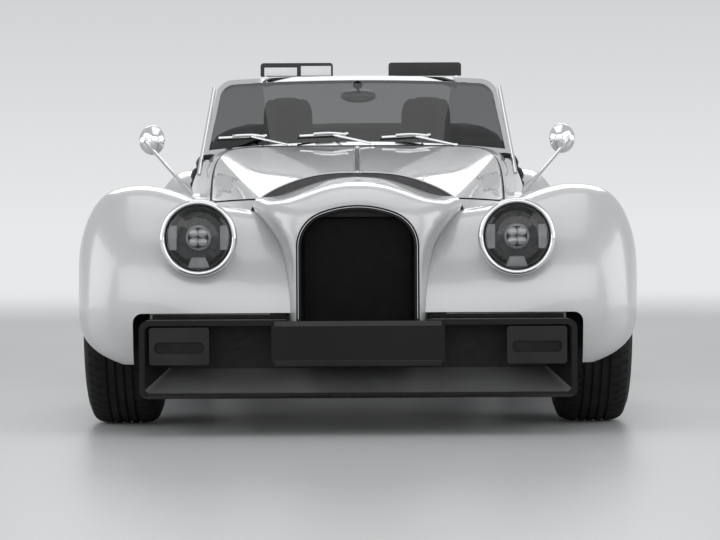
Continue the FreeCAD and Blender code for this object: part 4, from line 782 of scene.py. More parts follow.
class ROADSTER_OT_tyres(bpy.types.Operator):
    """Turn the tyres with grooved tread, shoulders and sidewall ribs"""
    bl_idname = "roadster.tyres"
    bl_label = "Tyres"

    RIBS, STEPS_IN_PITCH, SHOULDER = 5, 3, 0.012
    TREAD_DEPTH, STAGGER, MIDDLE_RIBS = 0.0160, 0.036, 0.62

    def execute(self, context):
        settings = context.scene.roadster_tyres
        for end in ENDS:
            left = self.make_tyre(settings, end)
            right = mirrored_copy(left)
            for side, tyre in (("left", left), ("right", right)):
                settle(tyre, f"tread_{end}_{side}", "black_rubber", f"wheel_{end}_{side}", 30,
                       [f"tyre_{end}_{side}"])
        return {"FINISHED"}

    def make_tyre(self, settings, end):
        """One left tyre, turned from its sidewalls, shoulders and grooved crown."""
        low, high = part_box(f"tyre_{end}_left")
        axle = (low + high) / 2
        half = (high.x - low.x) / 2
        outer = (high.z - low.z) / 2
        wheel_low, wheel_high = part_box(f"wheel_{end}_left")
        bead = (wheel_high.z - wheel_low.z) / 2 - 0.008
        steps = settings.pitches * self.STEPS_IN_PITCH
        crown = half - 0.040
        flank = [(half - 0.010, bead), (half - 0.005, bead + 0.010), (half - 0.003, bead + 0.018),
                 (half - 0.0005, bead + 0.024), (half, bead + 0.034), (half - 0.002, bead + 0.044),
                 (half - 0.007, outer - 0.034), (half - 0.0115, outer - 0.021), (half - 0.018, outer - 0.012),
                 (half - 0.028, outer - 0.0055), (crown, outer - 0.002)]
        profile = [(-along, out) for along, out in flank]
        rib_width = (2 * (crown - self.SHOULDER) - (self.RIBS - 1) * settings.groove_width) / self.RIBS
        start = -crown + self.SHOULDER
        for rib in range(self.RIBS):
            end_of_rib = start + rib_width
            drop = 0.0015 * ((start + rib_width / 2) / crown) ** 2
            profile += [(start, outer - drop), (start + rib_width / 2, outer - drop / 2),
                        (end_of_rib, outer - drop)]
            if rib < self.RIBS - 1:
                floor_start = end_of_rib + settings.groove_width * 0.2
                floor_end = end_of_rib + settings.groove_width * 0.8
                profile += [(floor_start, outer - settings.groove_depth),
                            (floor_end, outer - settings.groove_depth)]
            start = end_of_rib + settings.groove_width
        profile += list(reversed(flank))
        profile += [(half - 0.016, bead - 0.001), (-half + 0.016, bead - 0.001), (-half + 0.010, bead)]
        tyre = turned(profile, OUTWARD, axle, steps)
        self.cut_sipes(tyre, axle, outer, crown, settings)
        return tyre

    def cut_sipes(self, tyre, axle, outer, crown, settings):
        """Press short grooves into the ribs, staggered from rib to rib."""
        edit(tyre)

        def in_sipe(middle, normal):
            out = math.hypot(middle.y - axle.y, middle.z - axle.z)
            along = middle.x - axle.x
            if out < outer - self.TREAD_DEPTH or abs(normal.x) > 0.75:
                return False
            if abs(along) < crown * self.MIDDLE_RIBS:
                return False
            turn = math.atan2(middle.z - axle.z, middle.y - axle.y) / math.tau % 1.0
            step = int(turn * settings.pitches * self.STEPS_IN_PITCH)
            stagger = int((along + crown) / self.STAGGER)
            return (step + stagger) % self.STEPS_IN_PITCH == 0

        pick_faces(tyre, in_sipe)
        bpy.ops.mesh.extrude_region_shrink_fatten(
            TRANSFORM_OT_shrink_fatten={"value": -settings.groove_depth * 0.3})
        close_edit()


class ROADSTER_OT_grille(bpy.types.Operator):
    """Weave the grille's fine mesh, with its ring, crown shelf, bright line and radiator"""
    bl_idname = "roadster.grille"
    bl_label = "Grille"

    # The arch: its half width, where its sides end, its corners' radius and how far its crown rises
    HALF, SPRING, CORNER, DROP = 0.177, 0.554, 0.104, 0.014
    CENTRE = HALF - CORNER
    BELOW = (CENTRE ** 2 - DROP ** 2) / (2 * DROP)
    TURN = math.atan2(BELOW, CENTRE)
    FOOT, FRONT = 0.316, -1.8443
    MESH_BEHIND, MESH_SPAN, MESH_HEIGHT, MESH_TUCK = 0.031, 0.54, 0.49, 0.0085
    SHELF_FOOT, SHELF_TOP, SHELF_HALF, SHELF_REACH = 0.643, 0.700, 0.150, 0.128
    LINE_STEPS, LINE_PROUD = 48, 0.0004

    def onto_arch(self, x, z, inset):
        """The point of the arch nearest to this one, and whether this one lies inside it."""
        half, corner = self.HALF - inset, self.CORNER - inset
        side = 1 if x >= 0 else -1
        if z <= self.SPRING:
            inside = abs(x) < half and z > self.FOOT
            if half - abs(x) < z - self.FOOT:
                return (side * half, z), inside
            return (x, self.FOOT), inside
        angle = math.atan2(z - self.SPRING, abs(x) - self.CENTRE)
        if angle < self.TURN:
            reach = math.hypot(z - self.SPRING, abs(x) - self.CENTRE)
            near = (side * (self.CENTRE + corner * math.cos(angle)), self.SPRING + corner * math.sin(angle))
            return near, reach < corner
        low = self.SPRING - self.BELOW
        radius = self.DROP + corner + self.BELOW
        angle = math.atan2(z - low, abs(x))
        reach = math.hypot(z - low, x)
        return (side * radius * math.cos(angle), low + radius * math.sin(angle)), reach < radius

    def execute(self, context):
        settings = context.scene.roadster_trim
        ring = skin_of("grille")
        cut_away(ring, lambda middle, normal: -1.8068 < middle.y < -1.8018)
        close_edit()
        settle(ring, "grille_ring", "grille_black", replaces=["grille"])
        settle(self.make_mesh(settings), "grille_mesh", "grille_black", smooth=None)
        settle(self.make_shelf(), "grille_crown", "satin_black")
        settle(self.make_line(), "grille_line", "bright_chrome")
        core = block((-0.160, -1.792, 0.330), (0.160, -1.770, 0.640))
        bevelled(core, 0.004)
        settle(core, "radiator_core", "arch_liner")
        return {"FINISHED"}

    def make_mesh(self, settings):
        """A diagonal grid cut to the arch, with its edge drawn onto it, made into wires."""
        cells = int(self.MESH_SPAN / (settings.mesh_pitch / math.sqrt(2)))
        deselect()
        bpy.ops.mesh.primitive_grid_add(
            x_subdivisions=cells, y_subdivisions=cells, size=self.MESH_SPAN,
            location=(0, self.FRONT + self.MESH_BEHIND, self.MESH_HEIGHT),
            rotation=(math.pi / 2, math.pi / 4, 0))
        weave = bpy.context.object
        bpy.ops.object.transform_apply(location=True, rotation=True, scale=True)
        cut_away(weave, lambda middle, normal: not self.onto_arch(middle.x, middle.z, 0.008)[1])
        mesh = bmesh.from_edit_mesh(weave.data)
        for vertex in mesh.verts:
            if vertex.is_boundary:
                (vertex.co.x, vertex.co.z), _ = self.onto_arch(vertex.co.x, vertex.co.z, self.MESH_TUCK)
        bmesh.update_edit_mesh(weave.data)
        bpy.ops.mesh.select_all(action="SELECT")
        bpy.ops.mesh.remove_doubles(threshold=0.0008)
        close_edit()
        wires = weave.modifiers.new("Wires", "WIREFRAME")
        wires.thickness = settings.mesh_wire
        wires.use_even_offset = False
        apply_modifiers(weave)
        return weave

    def make_shelf(self):
        """A blank panel that fills the arch above the mesh."""
        low = self.SHELF_FOOT
        shelf = block((-self.SHELF_HALF, self.FRONT + 0.020, low),
                      (self.SHELF_HALF, self.FRONT + 0.030, self.SHELF_TOP))

        def under_arch(place):
            top = (place.z - low) / (self.SHELF_TOP - low)
            place.x *= self.SHELF_REACH / self.SHELF_HALF
            (_, edge_z), _ = self.onto_arch(place.x, 0.66, self.MESH_TUCK)
            place.z = low + (edge_z - low) * top
            return place

        edit(shelf, everything=True)
        bpy.ops.mesh.subdivide(number_cuts=24)
        reshape(shelf, under_arch)
        return bevelled(shelf, 0.0015, 2, 50)

    def make_line(self):
        """The thin bright edge just inside the ring."""
        places = []
        y = self.FRONT - self.LINE_PROUD
        for step in range(self.LINE_STEPS + 1):
            around = math.pi * step / self.LINE_STEPS
            x, z = 0.3 * math.cos(around), self.SPRING + 0.3 * math.sin(around)
            (x, z), _ = self.onto_arch(x, z, 0.0)
            places.append((x, y, z))
        ends = [(side * self.HALF, y, self.FOOT) for side in (1, -1)]
        return tube([ends[0]] + places + [ends[1]], 0.0013, 8, False)


class ROADSTER_OT_nose(bpy.types.Operator):
    """Fit the headlamps, the plain plate, the seal, the facings with the bumper floor's painted highlight,
    the painted shade strips in the bumper's gap, the arch linings and the louvres
    """
    bl_idname = "roadster.nose"
    bl_label = "Nose"

    LAMP = Vector((0.472, -1.848, 0.583))
    # The louvres: how many, how far apart along and up, half a louvre's size, and the first one's place
    LOUVRES, LOUVRE_PITCH, LOUVRE_RISE = 9, 0.052, 0.0022
    LOUVRE_HALF = Vector((0.005, 0.010, 0.030))
    LOUVRE_Y, LOUVRE_Z = -0.980, 0.753

    def execute(self, context):
        for name, part, material, slot in self.make_lamp():
            replaced = ["headlamp_shells"] if name == "lamp_pod" else []
            settle_pair(part, name, material, smooth=50, replaces=replaced)
        plate = block((-0.2535, -1.9448, 0.2155), (0.2535, -1.9392, 0.3285))
        bevelled(plate, 0.006, 4, 80)
        edit(plate)
        pick_faces(plate, lambda middle, normal: normal.y < -0.9 and abs(middle.x) < 0.1)
        bpy.ops.mesh.inset(thickness=0.005, depth=0)
        bpy.ops.mesh.inset(thickness=0.001, depth=-0.0012)
        close_edit()
        settle(plate, "plate_blank", "gloss_black")
        peeled("nose_cowl", "crescent_seal", "seal_grey",
               lambda middle, normal: -1.4770 < middle.y < -1.4715 and normal.y < -0.8, SEAL_LIFT)
        for end, panel, reach in (("front", "front_wings", 1.0), ("rear", "rear_wings", 1.0),
                                  ("rear", "tail_body", 0.400)):
            axle = joint_place(f"wheel_{end}_left_spin")
            peeled(panel, f"{panel}_lining", "arch_liner",
                   lambda middle, normal: self.faces_wheel(middle, normal, axle, reach), FACING_LIFT)
        # Painted highlight: the satin black bumper's upward floor faces get a lighter grey facing, standing
        # in for the light from above
        peeled("front_bumper", "bumper_floor_painted_light", "tray_painted_light_grey",
               lambda middle, normal: normal.z > 0.3 and -1.9445 < middle.y < -1.82 and middle.z < 0.24,
               FACING_LIFT)
        peeled("front_bumper", "bumper_wall", "grille_black",
               lambda middle, normal: normal.y < -0.9 and middle.y > -1.84, FACING_LIFT)
        peeled("bumper_lamps", "lamp_slots", "grille_black",
               lambda middle, normal: normal.y < -0.9 and middle.y > -1.924, FACING_LIFT)
        # Painted shade: dark strips in the gap line above and beside the bumper, where there is only shade
        for side_name, side in SIDES:
            low, high = sorted((side * 0.215, side * 0.612))
            gap_shade = bevelled(block((low, -1.8090, 0.3412), (high, -1.8010, 0.3530)), 0.002, 2)
            settle(gap_shade, f"bumper_gap_shade_{side_name}", "arch_liner")
        for side_name, side in SIDES:
            settle(self.make_louvres(side, side_name), f"louvres_{side_name}", "body_paint",
                   f"bonnet_{side_name}", 40)
        return {"FINISHED"}

    def lamp_turned(self, profile):
        """A piece of the left headlamp, turned about its axis."""
        return turned(profile, FORWARD, self.LAMP, 96)

    def make_lamp(self):
        """The left headlamp's pieces, each with its name, finish and slot."""
        pod = self.lamp_turned([(-0.020, 0.0985), (0.0, 0.0990), (0.0, 0.1060), (-0.004, 0.1110),
                                (-0.014, 0.1150), (-0.050, 0.1138), (-0.140, 0.1070), (-0.240, 0.0968),
                                (-0.258, 0.0930), (-0.264, 0.0850), (-0.264, 0.0)])
        bezel = self.lamp_turned([(-0.006, 0.1140), (0.001, 0.1120), (0.0045, 0.1080), (0.0050, 0.1035),
                                  (0.0020, 0.1000), (-0.004, 0.0992), (-0.006, 0.1140)])
        gasket = self.lamp_turned([(-0.001, 0.1000), (0.0015, 0.0985), (-0.001, 0.0968), (-0.006, 0.0968),
                                   (-0.006, 0.1000), (-0.001, 0.1000)])
        ring = self.lamp_turned([(-0.006, 0.0966), (-0.004, 0.0940), (-0.010, 0.0905), (-0.020, 0.0880),
                                 (-0.022, 0.0895), (-0.012, 0.0935), (-0.008, 0.0966), (-0.006, 0.0966)])
        clips = []
        for side in (1, -1):
            low, high = sorted((side * 0.064, side * 0.089))
            clip = block(self.LAMP + Vector((low, 0.008, -0.036)), self.LAMP + Vector((high, 0.030, 0.036)))
            edit(clip)
            pick_faces(clip, lambda middle, normal: normal.y < -0.9)
            bpy.ops.mesh.inset(thickness=0.004, depth=-0.003)
            close_edit()
            clips.append(bevelled(clip, 0.004, 3))
        foot = block(self.LAMP + Vector((-0.034, 0.008, -0.090)), self.LAMP + Vector((0.034, 0.028, -0.058)))
        edit(foot)
        pick_faces(foot, lambda middle, normal: normal.z > 0.9)
        bpy.ops.transform.resize(value=(0.62, 1, 1))
        close_edit()
        clips.append(bevelled(foot, 0.004, 3))
        housing = self.lamp_turned([(-0.030, 0.0385), (-0.012, 0.0375), (-0.006, 0.0350), (-0.005, 0.0315),
                                    (-0.011, 0.0300), (-0.030, 0.0300), (-0.030, 0.0385)])
        lobes = []
        for across in (1, -1):
            for up in (1, -1):
                middle = self.LAMP + Vector((across * 0.0135, 0, up * 0.0135))
                lobes.append(turned([(-0.020, 0.0155), (-0.004, 0.0150), (-0.0005, 0.0120), (0.0015, 0.0070),
                                     (0.0022, 0)], FORWARD, middle, 32))
        return [("lamp_pod", pod, "body_paint", "paint"), ("lamp_bezel", bezel, "bright_chrome", "chrome"),
                ("lamp_gasket", gasket, "black_rubber", "trim_black"),
                ("lamp_ring", ring, "wheel_silver", "chrome"),
                ("lamp_clips", joined(clips), "lamp_clip_grey", "lamp_dark"),
                ("lamp_projector", housing, "lamp_clip_grey", "lamp_dark"),
                ("lamp_lobes", joined(lobes), "turned_disc", "lamp_dark")]

    def faces_wheel(self, middle, normal, axle, reach):
        """Whether a face in the arch looks at the wheel."""
        spoke = Vector((0, middle.y - axle.y, middle.z - axle.z))
        return ARCH_LIP < spoke.length < reach and normal.dot(spoke) < ARCH_FACING * spoke.length

    def make_louvres(self, side, side_name):
        """One pressed louvre, copied along the bonnet's flank where the panel lies."""
        pressed = block(-self.LOUVRE_HALF, self.LOUVRE_HALF)

        def open_behind(place):
            along, up = place.y / self.LOUVRE_HALF.y, place.z / self.LOUVRE_HALF.z
            place.x = place.x * (1 - up ** 4) * (0.55 + 0.45 * along * side) - 0.0005
            return place

        edit(pressed, everything=True)
        bpy.ops.mesh.subdivide(number_cuts=5)
        reshape(pressed, open_behind)
        places = []
        for index in range(self.LOUVRES):
            y = self.LOUVRE_Y + index * self.LOUVRE_PITCH
            z = self.LOUVRE_Z + index * self.LOUVRE_RISE
            hit, point, normal = side_skin(f"bonnet_{side_name}", side, y, z)
            if hit and normal.x * side > 0.3:
                up = Vector((0, 0, 1)) - normal * normal.z
                across = up.normalized().cross(normal)
                turn = Matrix((normal, across, up.normalized())).transposed()
                places.append(Matrix.Translation(point) @ turn.to_4x4())
        return repeated(pressed, places)


class ROADSTER_OT_screen(bpy.types.Operator):
    """Fit the screen's seal, latches, blades, visors and mirrors"""
    bl_idname = "roadster.screen"
    bl_label = "Screen and mirrors"

    # How far the screen's foot sweeps back at its ends, its half width, and how it leans
    SWEEP, HALF, LEAN = 0.117, 0.552, 0.77
    WIPERS = (-0.235, 0.055, 0.346)
    WING_MIRROR, WING_MIRROR_AWAY = Vector((0.745, -0.205, 0.925)), -Vector((0.57, -0.82, 0.02)).normalized()

    def execute(self, context):
        foot = [(across * 0.545, -0.317 + self.SWEEP * across ** 2, 0.888 - 0.027 * across ** 2)
                for across in (-1, -0.75, -0.5, -0.25, 0, 0.25, 0.5, 0.75, 1)]
        settle(tube(foot, 0.009, 16), "screen_seal", "black_rubber")
        settle(self.make_bonnet_seal(), "bonnet_seal", "black_rubber")
        blades, holders = [], []
        for x in self.WIPERS:
            z = 0.889 - abs(x) * 0.02 + 0.052
            middle = x - 0.178
            slope = (middle / self.HALF) ** 2
            y = -0.303 + slope * self.SWEEP + (z - 0.893 + 0.025 * slope) * self.LEAN - 0.020
            start = Vector((middle - 0.088, y + 0.001, z - 0.0120))
            end = Vector((middle + 0.092, y - 0.003, z - 0.0045))
            blade = block((-0.5, -0.006, -0.007), (0.5, 0.006, 0.004))
            edit(blade)
            pick_faces(blade, lambda middle, normal: abs(normal.x) > 0.9)
            bpy.ops.transform.resize(value=(1, 0.5, 0.6))
            close_edit()
            bevelled(blade, 0.002, 2)
            run = end - start
            turn = run.to_track_quat("X", "Z").to_matrix().to_4x4()
            blade.data.transform(Matrix.Translation((start + end) / 2) @ turn
                                 @ Matrix.Diagonal((run.length, 1, 1, 1)))
            blades.append(blade)
            holders.append(tube([(middle - 0.030, y - 0.006, z + 0.001),
                                 (middle + 0.010, y - 0.010, z + 0.004),
                                 (middle + 0.050, y - 0.008, z + 0.003),
                                 (middle + 0.085, y - 0.008, z - 0.002)], 0.0062, 12))
        settle(joined(blades), "wiper_rubbers", "black_rubber")
        settle(joined(holders), "wiper_holders", "bright_chrome")
        latches = []
        for x, z in ((-0.362, 1.1465), (-0.074, 1.1555), (0.100, 1.1550), (0.390, 1.1455)):
            y = -0.080 + 0.077 * (x / 0.5) ** 2
            latch = block((x - 0.011, y + 0.004, z - 0.012), (x + 0.011, y + 0.022, z - 0.003))
            latches.append(bevelled(latch, 0.002))
        settle(joined(latches), "hood_latches", "bright_chrome")
        jets = []
        for x in (-0.205, 0.228):
            jets.append(turned([(0.0, 0.0), (0.0, 0.0055), (0.004, 0.0055), (0.009, 0.0035), (0.010, 0.0)],
                               (0, 0, 1), self.on_top("scuttle", x, -0.372), 20))
        settle(joined(jets), "washer_jets", "gloss_black")
        self.make_visors()
        self.make_inside_mirror()
        self.make_wing_glass()
        return {"FINISHED"}

    def make_bonnet_seal(self):
        """A rubber bead along the scuttle's front edge, where the bonnets come down."""
        scuttle, steps = frame["nodes"]["scuttle"], 60
        middle, first, sweep, away = Vector((0, -0.4145, 0.56)), -28, 236, 1.5
        places = []
        for step in range(steps + 1):
            around = math.radians(first + sweep * step / steps)
            toward = Vector((-math.cos(around), 0, -math.sin(around)))
            hit, point, _, _ = scuttle.ray_cast(middle - toward * away, toward)
            if hit:
                places.append(point - toward * 0.0005)
        return tube(places, 0.0036, 8)

    def on_top(self, node, x, y):
        """The place on a panel's upper skin over this point."""
        hit, point, _, _ = frame["nodes"][node].ray_cast(Vector((x, y, ABOVE)), Vector((0, 0, -1)))
        if not hit:
            raise ValueError(f"nothing of {node} is under ({x}, {y})")
        return point

    def make_visors(self):
        """Two visors folded up over the screen's head, with blank cards and pins."""
        for name, low, high in (("right", -0.348, -0.086), ("left", 0.115, 0.378)):
            visor = block((low, -0.0635, 1.1565), (high, -0.0525, 1.2055))
            edit(visor)
            pick_edges(visor, lambda a, b: abs(a.x - b.x) < 0.001 and abs(a.z - b.z) < 0.001 and a.z > 1.2)
            bpy.ops.mesh.bevel(offset=0.011, segments=6)
            close_edit()
            bevelled(visor, 0.003, 3, 40)
            replaced = ["screen_fittings"] if name == "left" else []
            settle(visor, f"sun_visor_{name}", "black_leather", replaces=replaced)
        cards = [bevelled(block((left, -0.0655, bottom), (right, -0.0625, top)), 0.0012, 2)
                 for left, right, bottom, top in ((-0.334, -0.216, 1.1590, 1.1890),
                                                  (-0.202, -0.093, 1.1590, 1.1940))]
        settle(joined(cards), "visor_cards", "visor_card")
        pins = [disc((x, -0.0585, 1.157), 0.004, 0.020, (0, 0, 1), 20)
                for x in (-0.330, -0.105, 0.135, 0.360)]
        settle(bevelled(joined(pins), 0.001, 2), "visor_pins", "bright_chrome")

    def make_inside_mirror(self):
        """The mirror behind the screen, on its stem and round foot."""
        mount = turned([(-0.004, 0.017), (0.001, 0.0175), (0.004, 0.0155), (0.006, 0.0)], (0, -0.755, 0.655),
                       (0.003, -0.075, 1.123), 40)
        stem = tube([(0.003, -0.072, 1.120), (0.004, -0.058, 1.112), (0.006, -0.046, 1.098)], 0.0055, 16)
        settle(joined([mount, stem]), "mirror_mount", "gloss_black")
        deselect()
        bpy.ops.mesh.primitive_uv_sphere_add(segments=64, ring_count=32, radius=1,
                                             location=(0.006, -0.036, 1.086),
                                             scale=(0.066, 0.022, 0.026))
        pod = bpy.context.object
        bpy.ops.object.transform_apply(location=True, rotation=True, scale=True)
        edit(pod, everything=True)
        bpy.ops.mesh.bisect(plane_co=(0, -0.036, 0), plane_no=BACKWARD, clear_outer=True, use_fill=True)
        close_edit()
        bevelled(pod, 0.0015, 2, 60)
        settle(pod, "inside_mirror", "bright_chrome")
        glass = disc((0.006, -0.0355, 1.086), 1, 0.002, BACKWARD, 64)
        glass.data.transform(Matrix.Translation((0.006, 0, 1.086)) @ Matrix.Diagonal((0.061, 1, 0.022, 1))
                             @ Matrix.Translation((-0.006, 0, -1.086)))
        bevelled(glass, 0.0006, 2)
        settle(glass, "inside_mirror_glass", "mirror_glass")

    def make_wing_glass(self):
        """The stalk mirrors' glass, shell and edge, turned about their own axis."""
        head, away = self.WING_MIRROR, self.WING_MIRROR_AWAY
        glass = turned([(0.0265, 0.0485), (0.0285, 0.0480), (0.0288, 0.0300), (0.0290, 0.0)], away, head, 64)
        shell = turned([(-0.0168, 0.0), (-0.0163, 0.010), (-0.0146, 0.020), (-0.0108, 0.030),
                        (-0.0045, 0.0388), (0.0038, 0.0456), (0.0125, 0.0502), (0.0200, 0.0523),
                        (0.0285, 0.0528)], away, head, 96)
        edge = turned([(0.0240, 0.0520), (0.0290, 0.0520), (0.0305, 0.0500), (0.0290, 0.0480),
                       (0.0240, 0.0520)], away, head, 64)
        for name, part, material in (("wing_mirror_glass", glass, "mirror_glass"),
                                     ("wing_mirror_shell", shell, "bright_chrome"),
                                     ("wing_mirror_edge", edge, "bright_chrome")):
            settle_pair(part, name, material, smooth=60)


class ROADSTER_OT_wheels(bpy.types.Operator):
    """Add the wheel nuts, the centre caps and the turned brake discs"""
    bl_idname = "roadster.wheels"
    bl_label = "Wheels"

    NUTS, NUT_CIRCLE, HUB_INSET, DISC_INSET = 5, 0.054, 0.022, 0.062

    def execute(self, context):
        for end, half in (("front", 0.1125), ("rear", 0.1225)):
            centre = joint_place(f"wheel_{end}_left_spin")
            hub = Vector((centre.x + half - self.HUB_INSET, centre.y, centre.z))
            cap = turned([(0.0, 0.031), (0.006, 0.030), (0.011, 0.026), (0.013, 0.018), (0.013, 0.0)],
                         OUTWARD, hub, 48)
            nuts = []
            for step in range(self.NUTS):
                around = math.tau * step / self.NUTS
                away = self.NUT_CIRCLE * math.cos(around), self.NUT_CIRCLE * math.sin(around)
                nut = disc(hub + Vector((0.006, *away)), 0.0105, 0.014, OUTWARD, 6)
                nuts.append(bevelled(nut, 0.0015, 2))
            rotor = turned([(-0.0006, 0.139), (0.0006, 0.1403), (0.0206, 0.1403), (0.0226, 0.139),
                            (0.0226, 0.082), (0.0206, 0.081), (0.0206, 0.080), (-0.0006, 0.080),
                            (-0.0006, 0.139)], OUTWARD, (centre.x - self.DISC_INSET, centre.y, centre.z), 96)
            for name, part, material, slot in (("wheel_cap", cap, "bright_chrome", "chrome"),
                                               ("wheel_nuts", joined(nuts), "forged_steel", "steel"),
                                               ("brake_disc", rotor, "turned_disc", "steel")):
                settle_pair(part, f"{name}_{end}", material, f"wheel_{end}")
        return {"FINISHED"}


class ROADSTER_OT_seats(bpy.types.Operator):
    """Sew and pad the two seats with their bolsters and headrests"""
    bl_idname = "roadster.seats"
    bl_label = "Seats"

    MIDDLE, HEAD_SWELL, SEAM_DEPTH, SEAM_WIDTH = 0.27, 0.006, 0.0055, 0.009

    def execute(self, context):
        settings = context.scene.roadster_soft
        cushion = self.form((0.092, 0.030, 0.245), (0.448, 0.452, 0.352), self.cushion_shape)
        back = self.form((0.094, 0.440, 0.300), (0.446, 0.530, 0.892), self.back_shape)
        head = self.form((0.173, 0.508, 0.878), (0.355, 0.622, 1.107), self.head_shape)
        parts = []
        for name, piece, seam, swell in (("seat_cushion", cushion, 0.105, settings.swell),
                                         ("seat_backrest", back, 0.108, settings.swell),
                                         ("headrest", head, 0.051, self.HEAD_SWELL)):
            puffed(piece, settings, swell)
            channels = [self.MIDDLE + seam, self.MIDDLE - seam]
            sew(piece, channels, self.SEAM_DEPTH, self.SEAM_WIDTH)
            finish_subdivided(piece)
            parts.append((name, piece, channels))
        shell = self.form((0.098, 0.060, 0.192), (0.442, 0.600, 0.290), lambda place: place)
        rear = self.form((0.100, 0.520, 0.200), (0.440, 0.590, 0.880), self.rear_shape)
        bevelled(shell, 0.02, 4)
        bevelled(rear, 0.02, 4)
        body = joined([shell, rear])
        twin_body = mirrored_copy(body)
        settle(body, "seat_frame_left", "black_leather", replaces=["seat_left"])
        settle(twin_body, "seat_frame_right", "black_leather", replaces=["seat_right"])
        for name, piece, channels in parts:
            stitches = self.stitched(piece, channels, context.scene.roadster_trim.stitch)
            twin = mirrored_copy(piece)
            twin_stitches = mirrored_copy(stitches)
            for side, cover, thread in (("left", piece, stitches), ("right", twin, twin_stitches)):
                settle(cover, f"{name}_{side}", "black_leather", smooth=60)
                settle(thread, f"{name}_stitches_{side}", "stitch_thread", smooth=None)
        return {"FINISHED"}

    def form(self, low, high, shape):
        """A rounded block, cut fine, whose points the shape moves."""
        piece = bevelled(block(low, high), 0.022, 4)
        edit(piece, everything=True)
        bpy.ops.mesh.subdivide(number_cuts=7)
        reshape(piece, shape)
        return piece

    def bolster(self, x):
        """How far the side bolsters stand up here, from 0 to 1."""
        return min(1.0, max(0.0, (abs(x - self.MIDDLE) - 0.095) / 0.05)) ** 1.5

    def cushion_shape(self, place):
        """The cushion rises at its bolsters and falls to the back."""
        top = (place.z - 0.245) / 0.107
        place.z += top * (0.018 * self.bolster(place.x) - 0.028 * (place.y - 0.03) / 0.42)
        return place

    def back_shape(self, place):
        """The backrest leans, narrows at its top and holds the sides."""
        up = (place.z - 0.300) / 0.592
        front = (0.530 - place.y) / 0.090
        held = math.sin(math.pi * min(1.0, up * 1.05))
        place.y += 0.092 * up - 0.026 * front * self.bolster(place.x) * held
        place.x = self.MIDDLE + (place.x - self.MIDDLE) * (1 - 0.10 * max(0.0, up - 0.6) / 0.4)
        return place

    def rear_shape(self, place):
        """The frame behind follows the backrest's lean."""
        up = (place.z - 0.200) / 0.680
        place.y += 0.045 * up - 0.035 * (1 - up)
        return place

    def head_shape(self, place):
        """The headrest narrows and rounds off upward."""
        up = (place.z - 0.878) / 0.229
        place.x = self.MIDDLE + (place.x - self.MIDDLE) * (1 - 0.06 * up)
        place.z -= 0.010 * ((place.x - self.MIDDLE) / 0.088) ** 2 * up
        return place

    def stitched(self, piece, channels, length):
        """Short raised stitches along each side of the seams, on the piece's front."""
        stitch = bevelled(block((-0.0006, -length / 2, -0.0005), (0.0006, length / 2, 0.0007)), 0.0003, 1)
        low = Vector([min(corner[axis] for corner in piece.bound_box) for axis in range(3)])
        high = Vector([max(corner[axis] for corner in piece.bound_box) for axis in range(3)])
        from_above = (high.z - low.z) < 0.2
        places = []
        for seam in channels:
            for offset in (-0.007, 0.007):
                start = low.y if from_above else low.z
                end = high.y if from_above else high.z
                count = int((end - start) / (length * 1.6))
                for index in range(2, count - 1):
                    at = start + (end - start) * index / count
                    x = seam + offset
                    origin = Vector((x, at, ABOVE)) if from_above else Vector((x, -0.3, at))
                    toward = Vector((0, 0, -1)) if from_above else Vector(BACKWARD)
                    hit, point, normal, _ = piece.ray_cast(origin, toward)
                    if hit:
                        along = Vector(BACKWARD) if from_above else Vector((0, 0, 1))
                        along = (along - normal * along.dot(normal)).normalized()
                        across = along.cross(normal)
                        turn = Matrix((across, along, normal)).transposed()
                        places.append(Matrix.Translation(point) @ turn.to_4x4())
        return repeated(stitch, places)


